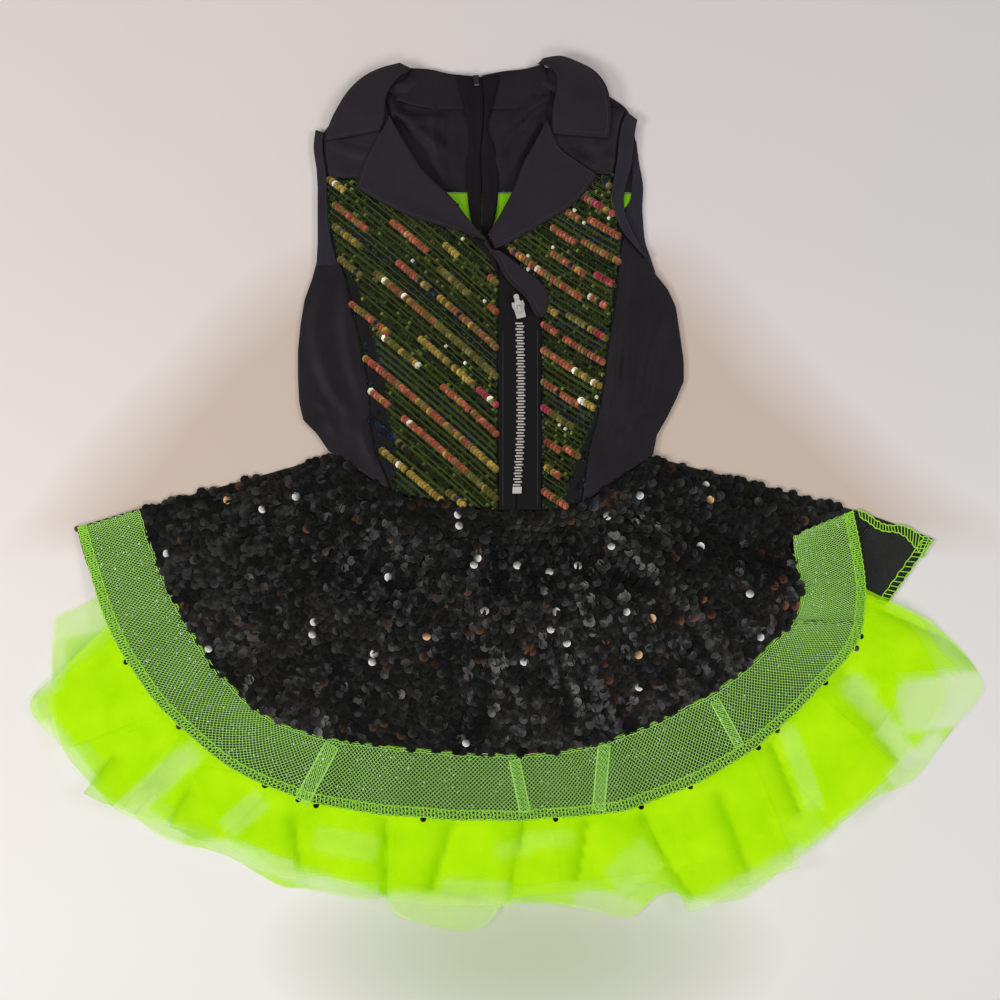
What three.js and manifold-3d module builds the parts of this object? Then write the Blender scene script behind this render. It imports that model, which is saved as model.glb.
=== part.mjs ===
// Jazz tutu dress, laid flat on its back with the front up.
// Millimetres: +X to the right of the picture, +Y towards the collar, +Z up from the surface it lies on.
import * as THREE from 'three';
import { mergeVertices } from 'three/addons/utils/BufferGeometryUtils.js';
import Module from 'manifold-3d';

const wasm = await Module();
wasm.setup();

// Cloth
const clothThickness = 1.2;
const bindingThickness = 1.8;
const lapelThickness = 2;
const facingThickness = 1;
const tulleThickness = 1;
const seamGap = 0.3;
const layerGap = 0.4;

// Bodice, how far its front lies above its back
const bodiceCentreX = -12;
const bodiceHalfWidth = 140;
const sideEase = 1.2;
const frontEase = 2.4;
const collarLeafLift = 1.6;
const collarLeafEdgeY = 268;
const collarStandY = 280;
const standLift = 1.6;
const standLiftFrom = collarStandY - 4;
const standLiftTo = collarStandY + 6;

// Waist of the back, a shallow arc
const backWaistY = 12.5;
const backWaistRise = 14;
const waistHalfWidth = 122;
const waistBlend = 0.8;
const underarmEase = 2;

// Skirt and tulle, in polar form about a point above the waist
const skirtCentre = { x: -12, y: 62 };
const skirtReach = 315;
const waistReach = 78;
const waistReachRise = 48;
const firstAngle = THREE.MathUtils.degToRad(195.5);
const skirtAngle = THREE.MathUtils.degToRad(149);
const tulleLayers = 3;
const tulleAir = 0.5;
const tulleStep = tulleThickness + tulleAir;
const tulleSwell = 4.5;
const tulleWave = 4.1;
const tulleTopInset = 0.13;
const tulleFallStart = 1.22;
const tulleFallEnd = 1.34;
const skirtRoom = 1;
const skirtFoldGrowth = 0.35;
const sideSettle = 0.06;
const waistSettle = 0.1;

// How full the net lies, as shares of the way in from a side edge and of the way down to the hem
const fullness = {
  sideFrom: 0.03,
  sideTo: 0.18,
  riseFrom: 0.05,
  riseTo: 0.4,
  sink: 0.45,
  sinkFrom: 0.6,
  hem: 1,
  lift: 0.15,
  liftTo: 1.2,
};

// Front zip
const chainWidth = 6.3;
const chainHeight = 2.6;
const sliderWidth = 9.4;
const sliderLength = 12.6;
const sliderHeight = 3;
const sliderTurn = THREE.MathUtils.degToRad(14);
const bridgeWidth = 1.8;
const bridgeThickness = 0.8;
const bridgeSpan = 5.4;
const bridgeRoom = 1.4;
const bridgeFoot = 0.5;
const pullLength = 11.5;
const pullWidth = 5;
const pullThickness = 1.1;
const pullEye = 2.6;
const pullEyeRoom = 0.6;
const pullTip = 1.2;
const stopOverhang = 0.2;

// Half outlines from the bottom to the top, in shares of the half width and of the length
const sliderOutline = [
  { across: 0.72, along: -1 },
  { across: 0.8, along: 0.1 },
  { across: 1, along: 0.45 },
  { across: 0.9, along: 1 },
  { across: 0.2, along: 0.86 },
];
const pullOutline = [
  { across: 1, along: 0.45 },
  { across: 0.7, along: 0.6 },
];
const pullTipOutline = [
  { across: 0.8, back: 1 },
  { across: 0.4, back: 0 },
];

const { clamp, lerp, smoothstep } = THREE.MathUtils;

// One row for each section of the left half of the front, from its top to the waist.
// The seam is the armhole edge down to the underarm row, and the side seam from there.
const leftUnderarmRow = 4;
const leftSections = [
  { seamX: -134, seamY: 233, centreX: -61, centreY: 233 },
  { seamX: -134, seamY: 217, centreX: -42, centreY: 219 },
  { seamX: -133, seamY: 200, centreX: -28, centreY: 201 },
  { seamX: -131, seamY: 186, centreX: -15, centreY: 186 },
  { seamX: -127, seamY: 175, centreX: -8, centreY: 173, outerX: -143, outerY: 171, backY: 171 },
  { seamX: -121, seamY: 160, centreX: -7, centreY: 158, outerX: -146.5, outerY: 158, backY: 157 },
  { seamX: -117, seamY: 142, centreX: -7, centreY: 142, outerX: -152, outerY: 143, backY: 141 },
  { seamX: -113, seamY: 124, centreX: -7, centreY: 124, outerX: -155, outerY: 125, backY: 123 },
  { seamX: -109, seamY: 105, centreX: -7, centreY: 105, outerX: -157, outerY: 105, backY: 102 },
  { seamX: -105, seamY: 85, centreX: -7, centreY: 85, outerX: -157, outerY: 85, backY: 81 },
  { seamX: -103, seamY: 64, centreX: -7, centreY: 64, outerX: -156, outerY: 66, backY: 61 },
  { seamX: -102, seamY: 46, centreX: -7, centreY: 43, outerX: -153, outerY: 53, backY: 46 },
  { seamX: -97, seamY: 26, centreX: -7, centreY: 18, outerX: -143, outerY: 43, backY: 35 },
  { seamX: -86, seamY: -1, centreX: -7, centreY: -15, outerX: -134, outerY: 30, backY: 21.8 },
];

const rightUnderarmRow = 4;
const rightSections = [
  { seamX: 78, seamY: 236, centreX: 13, centreY: 236 },
  { seamX: 76.5, seamY: 222, centreX: 5, centreY: 222 },
  { seamX: 78, seamY: 209, centreX: -3, centreY: 208 },
  { seamX: 82, seamY: 198, centreX: -9, centreY: 197 },
  { seamX: 87, seamY: 190, centreX: -6, centreY: 187, outerX: 103, outerY: 172, backY: 172 },
  { seamX: 84, seamY: 174, centreX: 6, centreY: 173, outerX: 111, outerY: 162, backY: 161 },
  { seamX: 81.5, seamY: 157, centreX: 26, centreY: 156, outerX: 120, outerY: 151, backY: 150 },
  { seamX: 79.5, seamY: 140, centreX: 26, centreY: 140, outerX: 126, outerY: 138, backY: 136 },
  { seamX: 76.5, seamY: 120, centreX: 26, centreY: 120, outerX: 129, outerY: 118, backY: 115 },
  { seamX: 74, seamY: 99, centreX: 26, centreY: 99, outerX: 132, outerY: 97, backY: 94 },
  { seamX: 72, seamY: 81, centreX: 26, centreY: 81, outerX: 132, outerY: 82, backY: 78 },
  { seamX: 69.5, seamY: 65, centreX: 26, centreY: 64, outerX: 126, outerY: 68, backY: 63 },
  { seamX: 66, seamY: 49, centreX: 26, centreY: 46, outerX: 119, outerY: 54, backY: 49 },
  { seamX: 61, seamY: 31, centreX: 26, centreY: 25, outerX: 112, outerY: 42, backY: 36 },
  { seamX: 55, seamY: -10, centreX: 26, centreY: -15, outerX: 109, outerY: 27, backY: 21.6 },
];
const sideWrapUnder = 24;

// Flat pieces: one row for each section, between an edge a and an edge b.
const leftFrontYoke = [
  { aX: -128, aY: 282, bX: -91, bY: 290 },
  { aX: -136, aY: 268, bX: -88, bY: 277 },
  { aX: -137, aY: 256, bX: -81, bY: 264 },
  { aX: -135.5, aY: 245, bX: -72, bY: 250 },
  { aX: -134, aY: 233.4, bX: -61, bY: 233.4 },
];
const rightFrontYoke = [
  { aX: 38, aY: 292, bX: 87.5, bY: 284 },
  { aX: 34, aY: 278, bX: 84, bY: 272 },
  { aX: 27, aY: 264, bX: 82, bY: 260 },
  { aX: 20, aY: 250, bX: 81, bY: 248 },
  { aX: 13, aY: 236.4, bX: 78.5, bY: 236.4 },
];
const leftBinding = [
  { aX: -143.5, aY: 270, bX: -137.3, bY: 268 },
  { aX: -145, aY: 257, bX: -138, bY: 256 },
  { aX: -143.5, aY: 245, bX: -136.4, bY: 245 },
  { aX: -142, aY: 234, bX: -134.8, bY: 233.2 },
  { aX: -142, aY: 218, bX: -134.4, bY: 217 },
  { aX: -142, aY: 200, bX: -133.4, bY: 200 },
  { aX: -142, aY: 185, bX: -131.4, bY: 186.2 },
  { aX: -142.7, aY: 172, bX: -128.5, bY: 175.8 },
];
const rightBinding = [
  { aX: 89, aY: 283, bX: 97, bY: 277 },
  { aX: 85, aY: 273, bX: 95, bY: 266 },
  { aX: 83, aY: 262, bX: 94, bY: 252 },
  { aX: 82, aY: 249, bX: 92, bY: 240 },
  { aX: 80, aY: 237, bX: 88.5, bY: 228 },
  { aX: 77.5, aY: 223, bX: 87, bY: 215 },
  { aX: 79.5, aY: 210, bX: 89, bY: 204 },
  { aX: 83.5, aY: 199, bX: 93, bY: 195 },
  { aX: 88.4, aY: 190.6, bX: 97.5, bY: 186 },
  { aX: 95.6, aY: 182.6, bX: 101, bY: 181 },
  { aX: 103, aY: 174.2, bX: 106, bY: 174.4 },
];
const leftLapel = [
  { aX: -88, aY: 280, bX: -94, bY: 267.6 },
  { aX: -82, aY: 269, bX: -101, bY: 256 },
  { aX: -74, aY: 256, bX: -108, bY: 241 },
  { aX: -64, aY: 240, bX: -113.5, bY: 226, corner: true },
  { aX: -54, aY: 230, bX: -91, bY: 213 },
  { aX: -42, aY: 219, bX: -70, bY: 203.5 },
  { aX: -31, aY: 205, bX: -48, bY: 197 },
  { aX: -22, aY: 194, bX: -30, bY: 191.5 },
  { aX: -15.5, aY: 188, bX: -18, bY: 186.6 },
];
const rightLapel = [
  { aX: 30, aY: 277, bX: 34, bY: 264.6 },
  { aX: 25, aY: 268, bX: 39, bY: 254.5 },
  { aX: 19, aY: 257, bX: 51, bY: 246 },
  { aX: 13, aY: 247, bX: 67, bY: 235.5, corner: true },
  { aX: 9, aY: 237, bX: 58, bY: 222 },
  { aX: 5, aY: 226, bX: 46, bY: 211 },
  { aX: 0, aY: 216, bX: 32, bY: 202.5 },
  { aX: -6, aY: 205, bX: 16, bY: 193 },
  { aX: -11, aY: 197, bX: 3, bY: 185.5 },
  { aX: -14.5, aY: 191, bX: -9, bY: 180.4 },
];
const lapelTab = [
  { aX: -18, aY: 185.8, bX: -14.4, bY: 185.6 },
  { aX: -13.5, aY: 180, bX: -10.6, bY: 179.8 },
  { aX: -10.5, aY: 176, bX: -5, bY: 178.6 },
  { aX: -7.1, aY: 170.6, bX: 4.8, bY: 171.5 },
  { aX: -3.4, aY: 162.4, bX: 15.2, bY: 163.5 },
  { aX: 2.6, aY: 154.9, bX: 24.2, bY: 156.5 },
  { aX: 10, aY: 148.2, bX: 29.4, bY: 149 },
  { aX: 16, aY: 140.8, bX: 30.9, bY: 141.5 },
  { aX: 19.7, aY: 133.3, bX: 29.4, bY: 133.8 },
  { aX: 23.4, aY: 129.6, bX: 26.4, bY: 129.6 },
];
const leftCollar = [
  { aX: -95, aY: 268.5, bX: -137, bY: 261, corner: true },
  { aX: -91.5, aY: 278, bX: -133, bY: 273 },
  { aX: -91, aY: 288, bX: -127, bY: 285 },
  { aX: -89, aY: 297, bX: -119, bY: 297.5 },
  { aX: -84, aY: 304.5, bX: -108, bY: 308 },
  { aX: -78, aY: 310, bX: -95, bY: 314.5 },
  { aX: -70, aY: 314, bX: -80, bY: 318.5 },
];
const rightCollar = [
  { aX: 34, aY: 266.2, bX: 76, bY: 262.5, corner: true },
  { aX: 33.4, aY: 277, bX: 77.5, bY: 276 },
  { aX: 34, aY: 287, bX: 76.5, bY: 289 },
  { aX: 36, aY: 297, bX: 73.5, bY: 301.5 },
  { aX: 37, aY: 306, bX: 65, bY: 312.5 },
  { aX: 34.5, aY: 312.5, bX: 52, bY: 319.5 },
  { aX: 28, aY: 316.5, bX: 39, bY: 323.5 },
  { aX: 22, aY: 317.5, bX: 26, bY: 321.5 },
];
const leftBackYoke = [
  { aX: -95, aY: 303, bX: -20.6, bY: 297 },
  { aX: -120, aY: 287, bX: -20.6, bY: 285 },
  { aX: -138, aY: 268, bX: -20.6, bY: 270 },
  { aX: -143, aY: 250, bX: -20.6, bY: 250 },
  { aX: -142, aY: 224, bX: -20.6, bY: 224 },
];
const rightBackYoke = [
  { aX: -20.2, aY: 297, bX: 60, bY: 304 },
  { aX: -20.2, aY: 285, bX: 88, bY: 287 },
  { aX: -20.2, aY: 270, bX: 95, bY: 268 },
  { aX: -20.2, aY: 250, bX: 97, bY: 250 },
  { aX: -20.2, aY: 224, bX: 101, bY: 224 },
];
const leftBackFacing = [
  { aX: -39, aY: 311, bX: -19, bY: 309 },
  { aX: -34, aY: 292, bX: -18, bY: 291 },
  { aX: -29, aY: 272, bX: -18.4, bY: 272 },
  { aX: -28.5, aY: 258, bX: -20, bY: 258 },
  { aX: -31, aY: 243, bX: -20, bY: 243 },
  { aX: -30, aY: 222, bX: -19.5, bY: 222 },
  { aX: -28, aY: 206, bX: -19.5, bY: 206 },
  { aX: -23, aY: 186, bX: -19.5, bY: 186 },
];
const rightBackFacing = [
  { aX: -18.6, aY: 309, bX: -6, bY: 311 },
  { aX: -17.6, aY: 291, bX: -10, bY: 292 },
  { aX: -18, aY: 272, bX: -15, bY: 272 },
  { aX: -19.6, aY: 258, bX: -10, bY: 258 },
  { aX: -19.6, aY: 243, bX: -7, bY: 244 },
  { aX: -19.1, aY: 222, bX: -7, bY: 222 },
  { aX: -19.1, aY: 206, bX: -9, bY: 206 },
  { aX: -19.1, aY: 186, bX: -15, bY: 186 },
];

// Collar stand across the back of the neck: its neck seam, its roll and the leaf behind it.
const leftCollarStand = [
  { seamX: -84, seamY: 292, outerX: -72, outerY: 316.5, backX: -84, backY: 290 },
  { seamX: -66, seamY: 287, outerX: -58, outerY: 315.5, backX: -64, backY: 286 },
  { seamX: -45, seamY: 285, outerX: -44, outerY: 312.5, backX: -45, backY: 283 },
  { seamX: -21.5, seamY: 286, outerX: -21.5, outerY: 309, backX: -21.5, backY: 283 },
];
const rightCollarStand = [
  { seamX: -19.3, seamY: 286, outerX: -19, outerY: 311, backX: -19.3, backY: 283 },
  { seamX: -3, seamY: 285, outerX: -4, outerY: 314, backX: -3, backY: 283 },
  { seamX: 16, seamY: 287, outerX: 13, outerY: 316, backX: 16, backY: 285 },
  { seamX: 34, seamY: 294, outerX: 27, outerY: 320, backX: 34, backY: 291 },
];

// Back panels, outer edge above the underarm
const backArmholeLeft = -141;
const backArmholeRight = 100;
const backTopY = 223.6;
const backZipX = -20.4;

// Centre line of the front zip
const zipLine = [
  { x: 8.2, y: 176 },
  { x: 8.8, y: 138 },
  { x: 10, y: 90 },
  { x: 10, y: 49 },
  { x: 9, y: 27 },
  { x: 7, y: -1 },
  { x: 6.6, y: -15 },
];
const chainTop = 126.5;
const chainBottom = 3.4;
const stopLength = 5;
const stopHeight = 3.2;
const tapeBottom = -14.6;
const tapeTopLeft = 171;
const tapeTopRight = 152;
const tapeLeftX = -6.7;
const tapeRightX = 25.7;
const sliderY = 135;
const zipHalvings = 24;

// Skirt: one row for each radial line, at the waist, 0.3 of the way down, the band seam and the hem.
const skirtMiddle = 0.3;
const backSkirtWaist = { left: -133.5, right: 108.5, gathered: 0.4 };
const skirtSections = [
  { waistX: -134, waistY: 28.8, middleX: -163, middleY: 11.5, seamX: -275, seamY: -13, hemX: -322, hemY: -27 },
  { waistX: -131, waistY: 27, middleX: -166, middleY: 3, seamX: -263, seamY: -45, hemX: -313, hemY: -57 },
  { waistX: -125, waistY: 23, middleX: -161, middleY: -7, seamX: -245, seamY: -82, hemX: -300, hemY: -93 },
  { waistX: -118, waistY: 18.4, middleX: -149, middleY: -22, seamX: -223, seamY: -118, hemX: -279, hemY: -131 },
  { waistX: -108, waistY: 12, middleX: -135, middleY: -36, seamX: -197, seamY: -150, hemX: -246, hemY: -171 },
  { waistX: -96, waistY: 4.2, middleX: -116, middleY: -49, seamX: -164, seamY: -173, hemX: -196, hemY: -210 },
  { waistX: -86, waistY: -2.2, middleX: -93, middleY: -57, seamX: -123, seamY: -183, hemX: -133, hemY: -233 },
  { waistX: -52, waistY: -8.2, middleX: -59, middleY: -62, seamX: -75, seamY: -189, hemX: -80, hemY: -240.5 },
  { waistX: -20, waistY: -14, middleX: -20, middleY: -69, seamX: -20, seamY: -193, hemX: -22, hemY: -244 },
  { waistX: 14, waistY: -16, middleX: 20, middleY: -69, seamX: 33, seamY: -192, hemX: 35, hemY: -242 },
  { waistX: 38, waistY: -14, middleX: 51, middleY: -64, seamX: 80, seamY: -181, hemX: 88, hemY: -235.5 },
  { waistX: 54.5, waistY: -11.4, middleX: 75, middleY: -57, seamX: 122, seamY: -163, hemX: 141, hemY: -215.5 },
  { waistX: 66, waistY: -3.6, middleX: 94, middleY: -45, seamX: 160, seamY: -142, hemX: 189, hemY: -185.5 },
  { waistX: 77, waistY: 4, middleX: 112, middleY: -30, seamX: 192, seamY: -114, hemX: 229, hemY: -148 },
  { waistX: 87, waistY: 10.8, middleX: 124, middleY: -20, seamX: 211, seamY: -94, hemX: 258, hemY: -114 },
  { waistX: 94, waistY: 15.6, middleX: 130, middleY: -12, seamX: 217, seamY: -75, hemX: 267, hemY: -81 },
  { waistX: 100, waistY: 19.8, middleX: 134, middleY: -5, seamX: 213.5, seamY: -52, hemX: 264, hemY: -45 },
  { waistX: 105, waistY: 23.2, middleX: 139, middleY: 0, seamX: 212, seamY: -33, hemX: 259, hemY: -14 },
  { waistX: 109, waistY: 26, middleX: 145, middleY: 5, seamX: 248, seamY: -12 },
];
const bandSections = skirtSections.slice(0, -1);

// Soft folds that run down the skirt: turn 0 is the left side edge and 1 the right one.
const skirtFolds = [
  { turn: 0.1, high: 3.5, wide: 0.03, start: 0.05 },
  { turn: 0.17, high: 5, wide: 0.028, start: 0 },
  { turn: 0.25, high: 3.5, wide: 0.024, start: 0.1 },
  { turn: 0.331, high: 5.5, wide: 0.02, start: 0.15 },
  { turn: 0.4, high: 3.5, wide: 0.025, start: 0 },
  { turn: 0.46, high: 3, wide: 0.022, start: 0.2 },
  { turn: 0.525, high: 4.5, wide: 0.018, start: 0.1 },
  { turn: 0.575, high: 4, wide: 0.02, start: 0 },
  { turn: 0.623, high: 6, wide: 0.018, start: 0.1 },
  { turn: 0.69, high: 4, wide: 0.025, start: 0.05 },
  { turn: 0.748, high: 6, wide: 0.02, start: 0.1 },
  { turn: 0.81, high: 4.5, wide: 0.025, start: 0 },
  { turn: 0.88, high: 5, wide: 0.03, start: 0 },
];

// Hem of the back skirt, whose right corner lies open beside the front.
const backHem = [
  { x: -323, y: -27 },
  { x: -316, y: -53 },
  { x: -304, y: -82 },
  { x: -277, y: -132 },
  { x: -236, y: -180 },
  { x: -186, y: -214 },
  { x: -132, y: -233 },
  { x: -77, y: -240 },
  { x: -21, y: -242 },
  { x: 36, y: -241 },
  { x: 90, y: -233 },
  { x: 142, y: -215 },
  { x: 187, y: -186 },
  { x: 228, y: -149 },
  { x: 262, y: -115 },
  { x: 289, y: -79 },
  { x: 319, y: -36, corner: true },
  { x: 291, y: -25 },
  { x: 262, y: -15 },
];
const bandWidth = 48;

// Edges of the three tulle layers, from the left to the right, with the height of each fold.
const lowerTulle = [
  { x: -339, y: -95, rise: 0.2 },
  { x: -342, y: -139, rise: 0.9 },
  { x: -335, y: -188, rise: 0.1 },
  { x: -314, y: -218, rise: 0.8 },
  { x: -282, y: -242, rise: 0 },
  { x: -258, y: -259, rise: 1 },
  { x: -210, y: -274, rise: 0.1 },
  { x: -172, y: -295, rise: 0.9 },
  { x: -151, y: -298, rise: 0 },
  { x: -111, y: -305, rise: 0.7 },
  { x: -92, y: -304, rise: 0 },
  { x: -84, y: -317, rise: 1 },
  { x: -52, y: -327, rise: 0.3 },
  { x: -21, y: -327, rise: 0.9 },
  { x: -3, y: -311, rise: 0 },
  { x: 34, y: -309, rise: 0.8 },
  { x: 71, y: -316, rise: 0.2 },
  { x: 94, y: -319, rise: 1 },
  { x: 117, y: -301, rise: 0 },
  { x: 163, y: -308, rise: 0.9 },
  { x: 189, y: -297, rise: 0.2 },
  { x: 223, y: -271, rise: 0.8 },
  { x: 243, y: -255, rise: 0.1 },
  { x: 274, y: -231, rise: 1 },
  { x: 306, y: -215, rise: 0.1 },
  { x: 331, y: -182, rise: 0.8 },
  { x: 356, y: -150, rise: 0.1 },
  { x: 345, y: -124, rise: 0.7 },
  { x: 315, y: -96, rise: 0.1 },
];
const middleTulle = [
  { x: -298, y: -100, rise: 0.1 },
  { x: -328, y: -130, rise: 0.8 },
  { x: -357, y: -160, rise: 0.2, corner: true },
  { x: -330, y: -192, rise: 0.9 },
  { x: -312, y: -215, rise: 0.1 },
  { x: -286, y: -242, rise: 0.8 },
  { x: -237, y: -251, rise: 0.1 },
  { x: -200, y: -270, rise: 1 },
  { x: -174, y: -286, rise: 0.2 },
  { x: -132, y: -290, rise: 0.9 },
  { x: -93, y: -300, rise: 0 },
  { x: -58, y: -305, rise: 0.8 },
  { x: -21, y: -309, rise: 0.1 },
  { x: 12, y: -302, rise: 0.9 },
  { x: 45, y: -299, rise: 0 },
  { x: 84, y: -296, rise: 0.8 },
  { x: 112, y: -292, rise: 0.1 },
  { x: 140, y: -306, rise: 1 },
  { x: 164, y: -300, rise: 0.2 },
  { x: 190, y: -288, rise: 0.8 },
  { x: 218, y: -270, rise: 0 },
  { x: 248, y: -244, rise: 0.9 },
  { x: 276, y: -222, rise: 0.1 },
  { x: 300, y: -196, rise: 0.8 },
  { x: 326, y: -158, rise: 0.2 },
  { x: 316, y: -124, rise: 0.8 },
  { x: 292, y: -92, rise: 0.1 },
];
const upperTulle = [
  { x: -284, y: -110, rise: 0.1 },
  { x: -305, y: -140, rise: 0.8 },
  { x: -318, y: -172, rise: 0.1 },
  { x: -296, y: -204, rise: 0.9 },
  { x: -262, y: -226, rise: 0.1 },
  { x: -226, y: -246, rise: 0.9 },
  { x: -186, y: -264, rise: 0.1 },
  { x: -152, y: -276, rise: 0.8 },
  { x: -114, y: -284, rise: 0.1 },
  { x: -76, y: -290, rise: 0.9 },
  { x: -40, y: -293, rise: 0 },
  { x: 0, y: -293, rise: 0.8 },
  { x: 36, y: -290, rise: 0.1 },
  { x: 72, y: -287, rise: 1 },
  { x: 106, y: -283, rise: 0 },
  { x: 142, y: -276, rise: 0.8 },
  { x: 178, y: -262, rise: 0.1 },
  { x: 208, y: -244, rise: 0.9 },
  { x: 240, y: -218, rise: 0.1 },
  { x: 266, y: -190, rise: 0.8 },
  { x: 288, y: -156, rise: 0.2 },
  { x: 284, y: -124, rise: 0.7 },
  { x: 272, y: -96, rise: 0.1 },
];

// A smooth curve through one named column of a table, read at t from 0 to 1 down its rows.
function column(rows, key) {
  const last = rows.length - 1;
  const value = (i) => rows[clamp(i, 0, last)][key];
  const slope = (i) => (rows[i].corner ? 0 : (value(i + 1) - value(i - 1)) / 2);
  return (t) => {
    const place = clamp(t, 0, 1) * last;
    const i = Math.min(Math.floor(place), last - 1);
    const f = place - i;
    const g = 1 - f;
    const ends = value(i) * (1 + 2 * f) * g * g + value(i + 1) * f * f * (3 - 2 * f);
    return ends + slope(i) * f * g * g - slope(i + 1) * f * f * g;
  };
}

function columns(rows, ...keys) {
  return Object.fromEntries(keys.map((key) => [key, column(rows, key)]));
}

// Where a point lies on the skirt: turn goes round from side edge to side edge, down from waist to hem.
function onSkirt(x, y) {
  const fromX = x - skirtCentre.x;
  const fromY = y - skirtCentre.y;
  const angle = (Math.atan2(fromY, fromX) + 2 * Math.PI) % (2 * Math.PI);
  const turn = (angle - firstAngle) / skirtAngle;
  const waist = waistReach + waistReachRise * (2 * turn - 1) ** 2;
  const down = (Math.hypot(fromX, fromY) - waist) / (skirtReach - waist);
  return { turn, down };
}

// Top of the back of the bodice, and the underside of its front
function backTop(y) {
  return clothThickness + collarLeafLift * smoothstep(y, collarLeafEdgeY, collarStandY);
}

function frontLow(x, y) {
  const out = (x - bodiceCentreX) / bodiceHalfWidth;
  return backTop(y) + sideEase + frontEase * Math.max(0, 1 - out * out);
}

function yokeLow(x, y) {
  return backTop(y) - clothThickness;
}

function overFront(x, y) {
  return frontLow(x, y) + clothThickness + layerGap;
}

function overBack(x, y) {
  return backTop(y) + layerGap + standLift * smoothstep(y, standLiftFrom, standLiftTo);
}

function backWaist(x) {
  return backWaistY + backWaistRise * ((x - bodiceCentreX) / waistHalfWidth) ** 2;
}

// How full the layers of net lie between the two skirts, from 0 to 1
function fullAt({ turn, down }) {
  const { sideFrom, sideTo, riseFrom, riseTo, sink, sinkFrom, hem, lift, liftTo } = fullness;
  const sides = smoothstep(turn, sideFrom, sideTo) * smoothstep(1 - turn, sideFrom, sideTo);
  const rise = smoothstep(down, riseFrom, riseTo);
  const fall = sink * smoothstep(down, sinkFrom, hem) - lift * smoothstep(down, hem, liftTo);
  return sides * (rise - fall);
}

function tulleLow(layer, rise) {
  return (x, y) => {
    const place = onSkirt(x, y);
    const full = fullAt(place);
    const ground = (clothThickness + layerGap) * (1 - smoothstep(place.down, tulleFallStart, tulleFallEnd));
    return ground + layer * (tulleStep + tulleSwell * full) + tulleWave * full * rise;
  };
}

function skirtFoldHeight({ turn, down }) {
  return skirtFolds.reduce((height, fold) => {
    const across = (turn - fold.turn) / fold.wide;
    const grown = smoothstep(down, fold.start, fold.start + skirtFoldGrowth);
    return height + fold.high * Math.exp(-across * across) * grown;
  }, 0);
}

function skirtLow(x, y) {
  const place = onSkirt(x, y);
  const full = fullAt(place);
  const sides = smoothstep(place.turn, 0, sideSettle) * smoothstep(1 - place.turn, 0, sideSettle);
  const piled = tulleLayers * (tulleStep + tulleSwell * full) + skirtRoom * full + skirtFoldHeight(place);
  const low = clothThickness + layerGap + sides * piled;
  return lerp(frontLow(x, y), low, smoothstep(place.down, 0, waistSettle));
}

// A closed wall between two skins, each a grid of points over u and v from 0 to 1.
function wall(across, along, lower, upper) {
  const positions = [];
  const index = [];
  const stride = across + 1;
  for (const skin of [lower, upper]) {
    for (let j = 0; j <= along; j += 1) {
      for (let i = 0; i <= across; i += 1) {
        positions.push(...skin(i / across, j / along));
      }
    }
  }
  const at = (skin, i, j) => (skin * (along + 1) + j) * stride + i;
  const quad = (a, b, c, d) => index.push(a, b, c, a, c, d);
  for (let j = 0; j < along; j += 1) {
    for (let i = 0; i < across; i += 1) {
      quad(at(0, i, j), at(0, i, j + 1), at(0, i + 1, j + 1), at(0, i + 1, j));
      quad(at(1, i, j), at(1, i + 1, j), at(1, i + 1, j + 1), at(1, i, j + 1));
    }
    quad(at(0, 0, j), at(1, 0, j), at(1, 0, j + 1), at(0, 0, j + 1));
    quad(at(0, across, j), at(0, across, j + 1), at(1, across, j + 1), at(1, across, j));
  }
  for (let i = 0; i < across; i += 1) {
    quad(at(0, i, 0), at(0, i + 1, 0), at(1, i + 1, 0), at(1, i, 0));
    quad(at(0, i, along), at(1, i, along), at(1, i + 1, along), at(0, i + 1, along));
  }
  const geometry = new THREE.BufferGeometry();
  geometry.setAttribute('position', new THREE.Float32BufferAttribute(positions, 3));
  geometry.setIndex(facingOut(positions, index));
  geometry.computeVertexNormals();
  return geometry;
}

function facingOut(positions, index) {
  const corner = (i) => new THREE.Vector3().fromArray(positions, index[i] * 3);
  let volume = 0;
  for (let i = 0; i < index.length; i += 3) {
    volume += corner(i).dot(corner(i + 1).cross(corner(i + 2)));
  }
  return volume > 0 ? index : index.map((_, i) => index[i - (i % 3) + (3 - (i % 3)) % 3]);
}

// Cloth that lies on what is under it: plan gives x and y, low the height of its underside.
function lyingCloth(across, along, plan, low, thickness) {
  const skin = (lift) => (u, v) => {
    const [x, y] = plan(u, v);
    return [x, y, low(x, y, u, v) + lift];
  };
  return wall(across, along, skin(0), skin(thickness));
}

// A strip between the two edges of a table
function strip(rows, across, low, thickness, stepsPerRow = 1) {
  const edge = columns(rows, 'aX', 'aY', 'bX', 'bY');
  const plan = (u, v) => [lerp(edge.aX(v), edge.bX(v), u), lerp(edge.aY(v), edge.bY(v), u)];
  return lyingCloth(across, (rows.length - 1) * stepsPerRow, plan, low, thickness);
}

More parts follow.
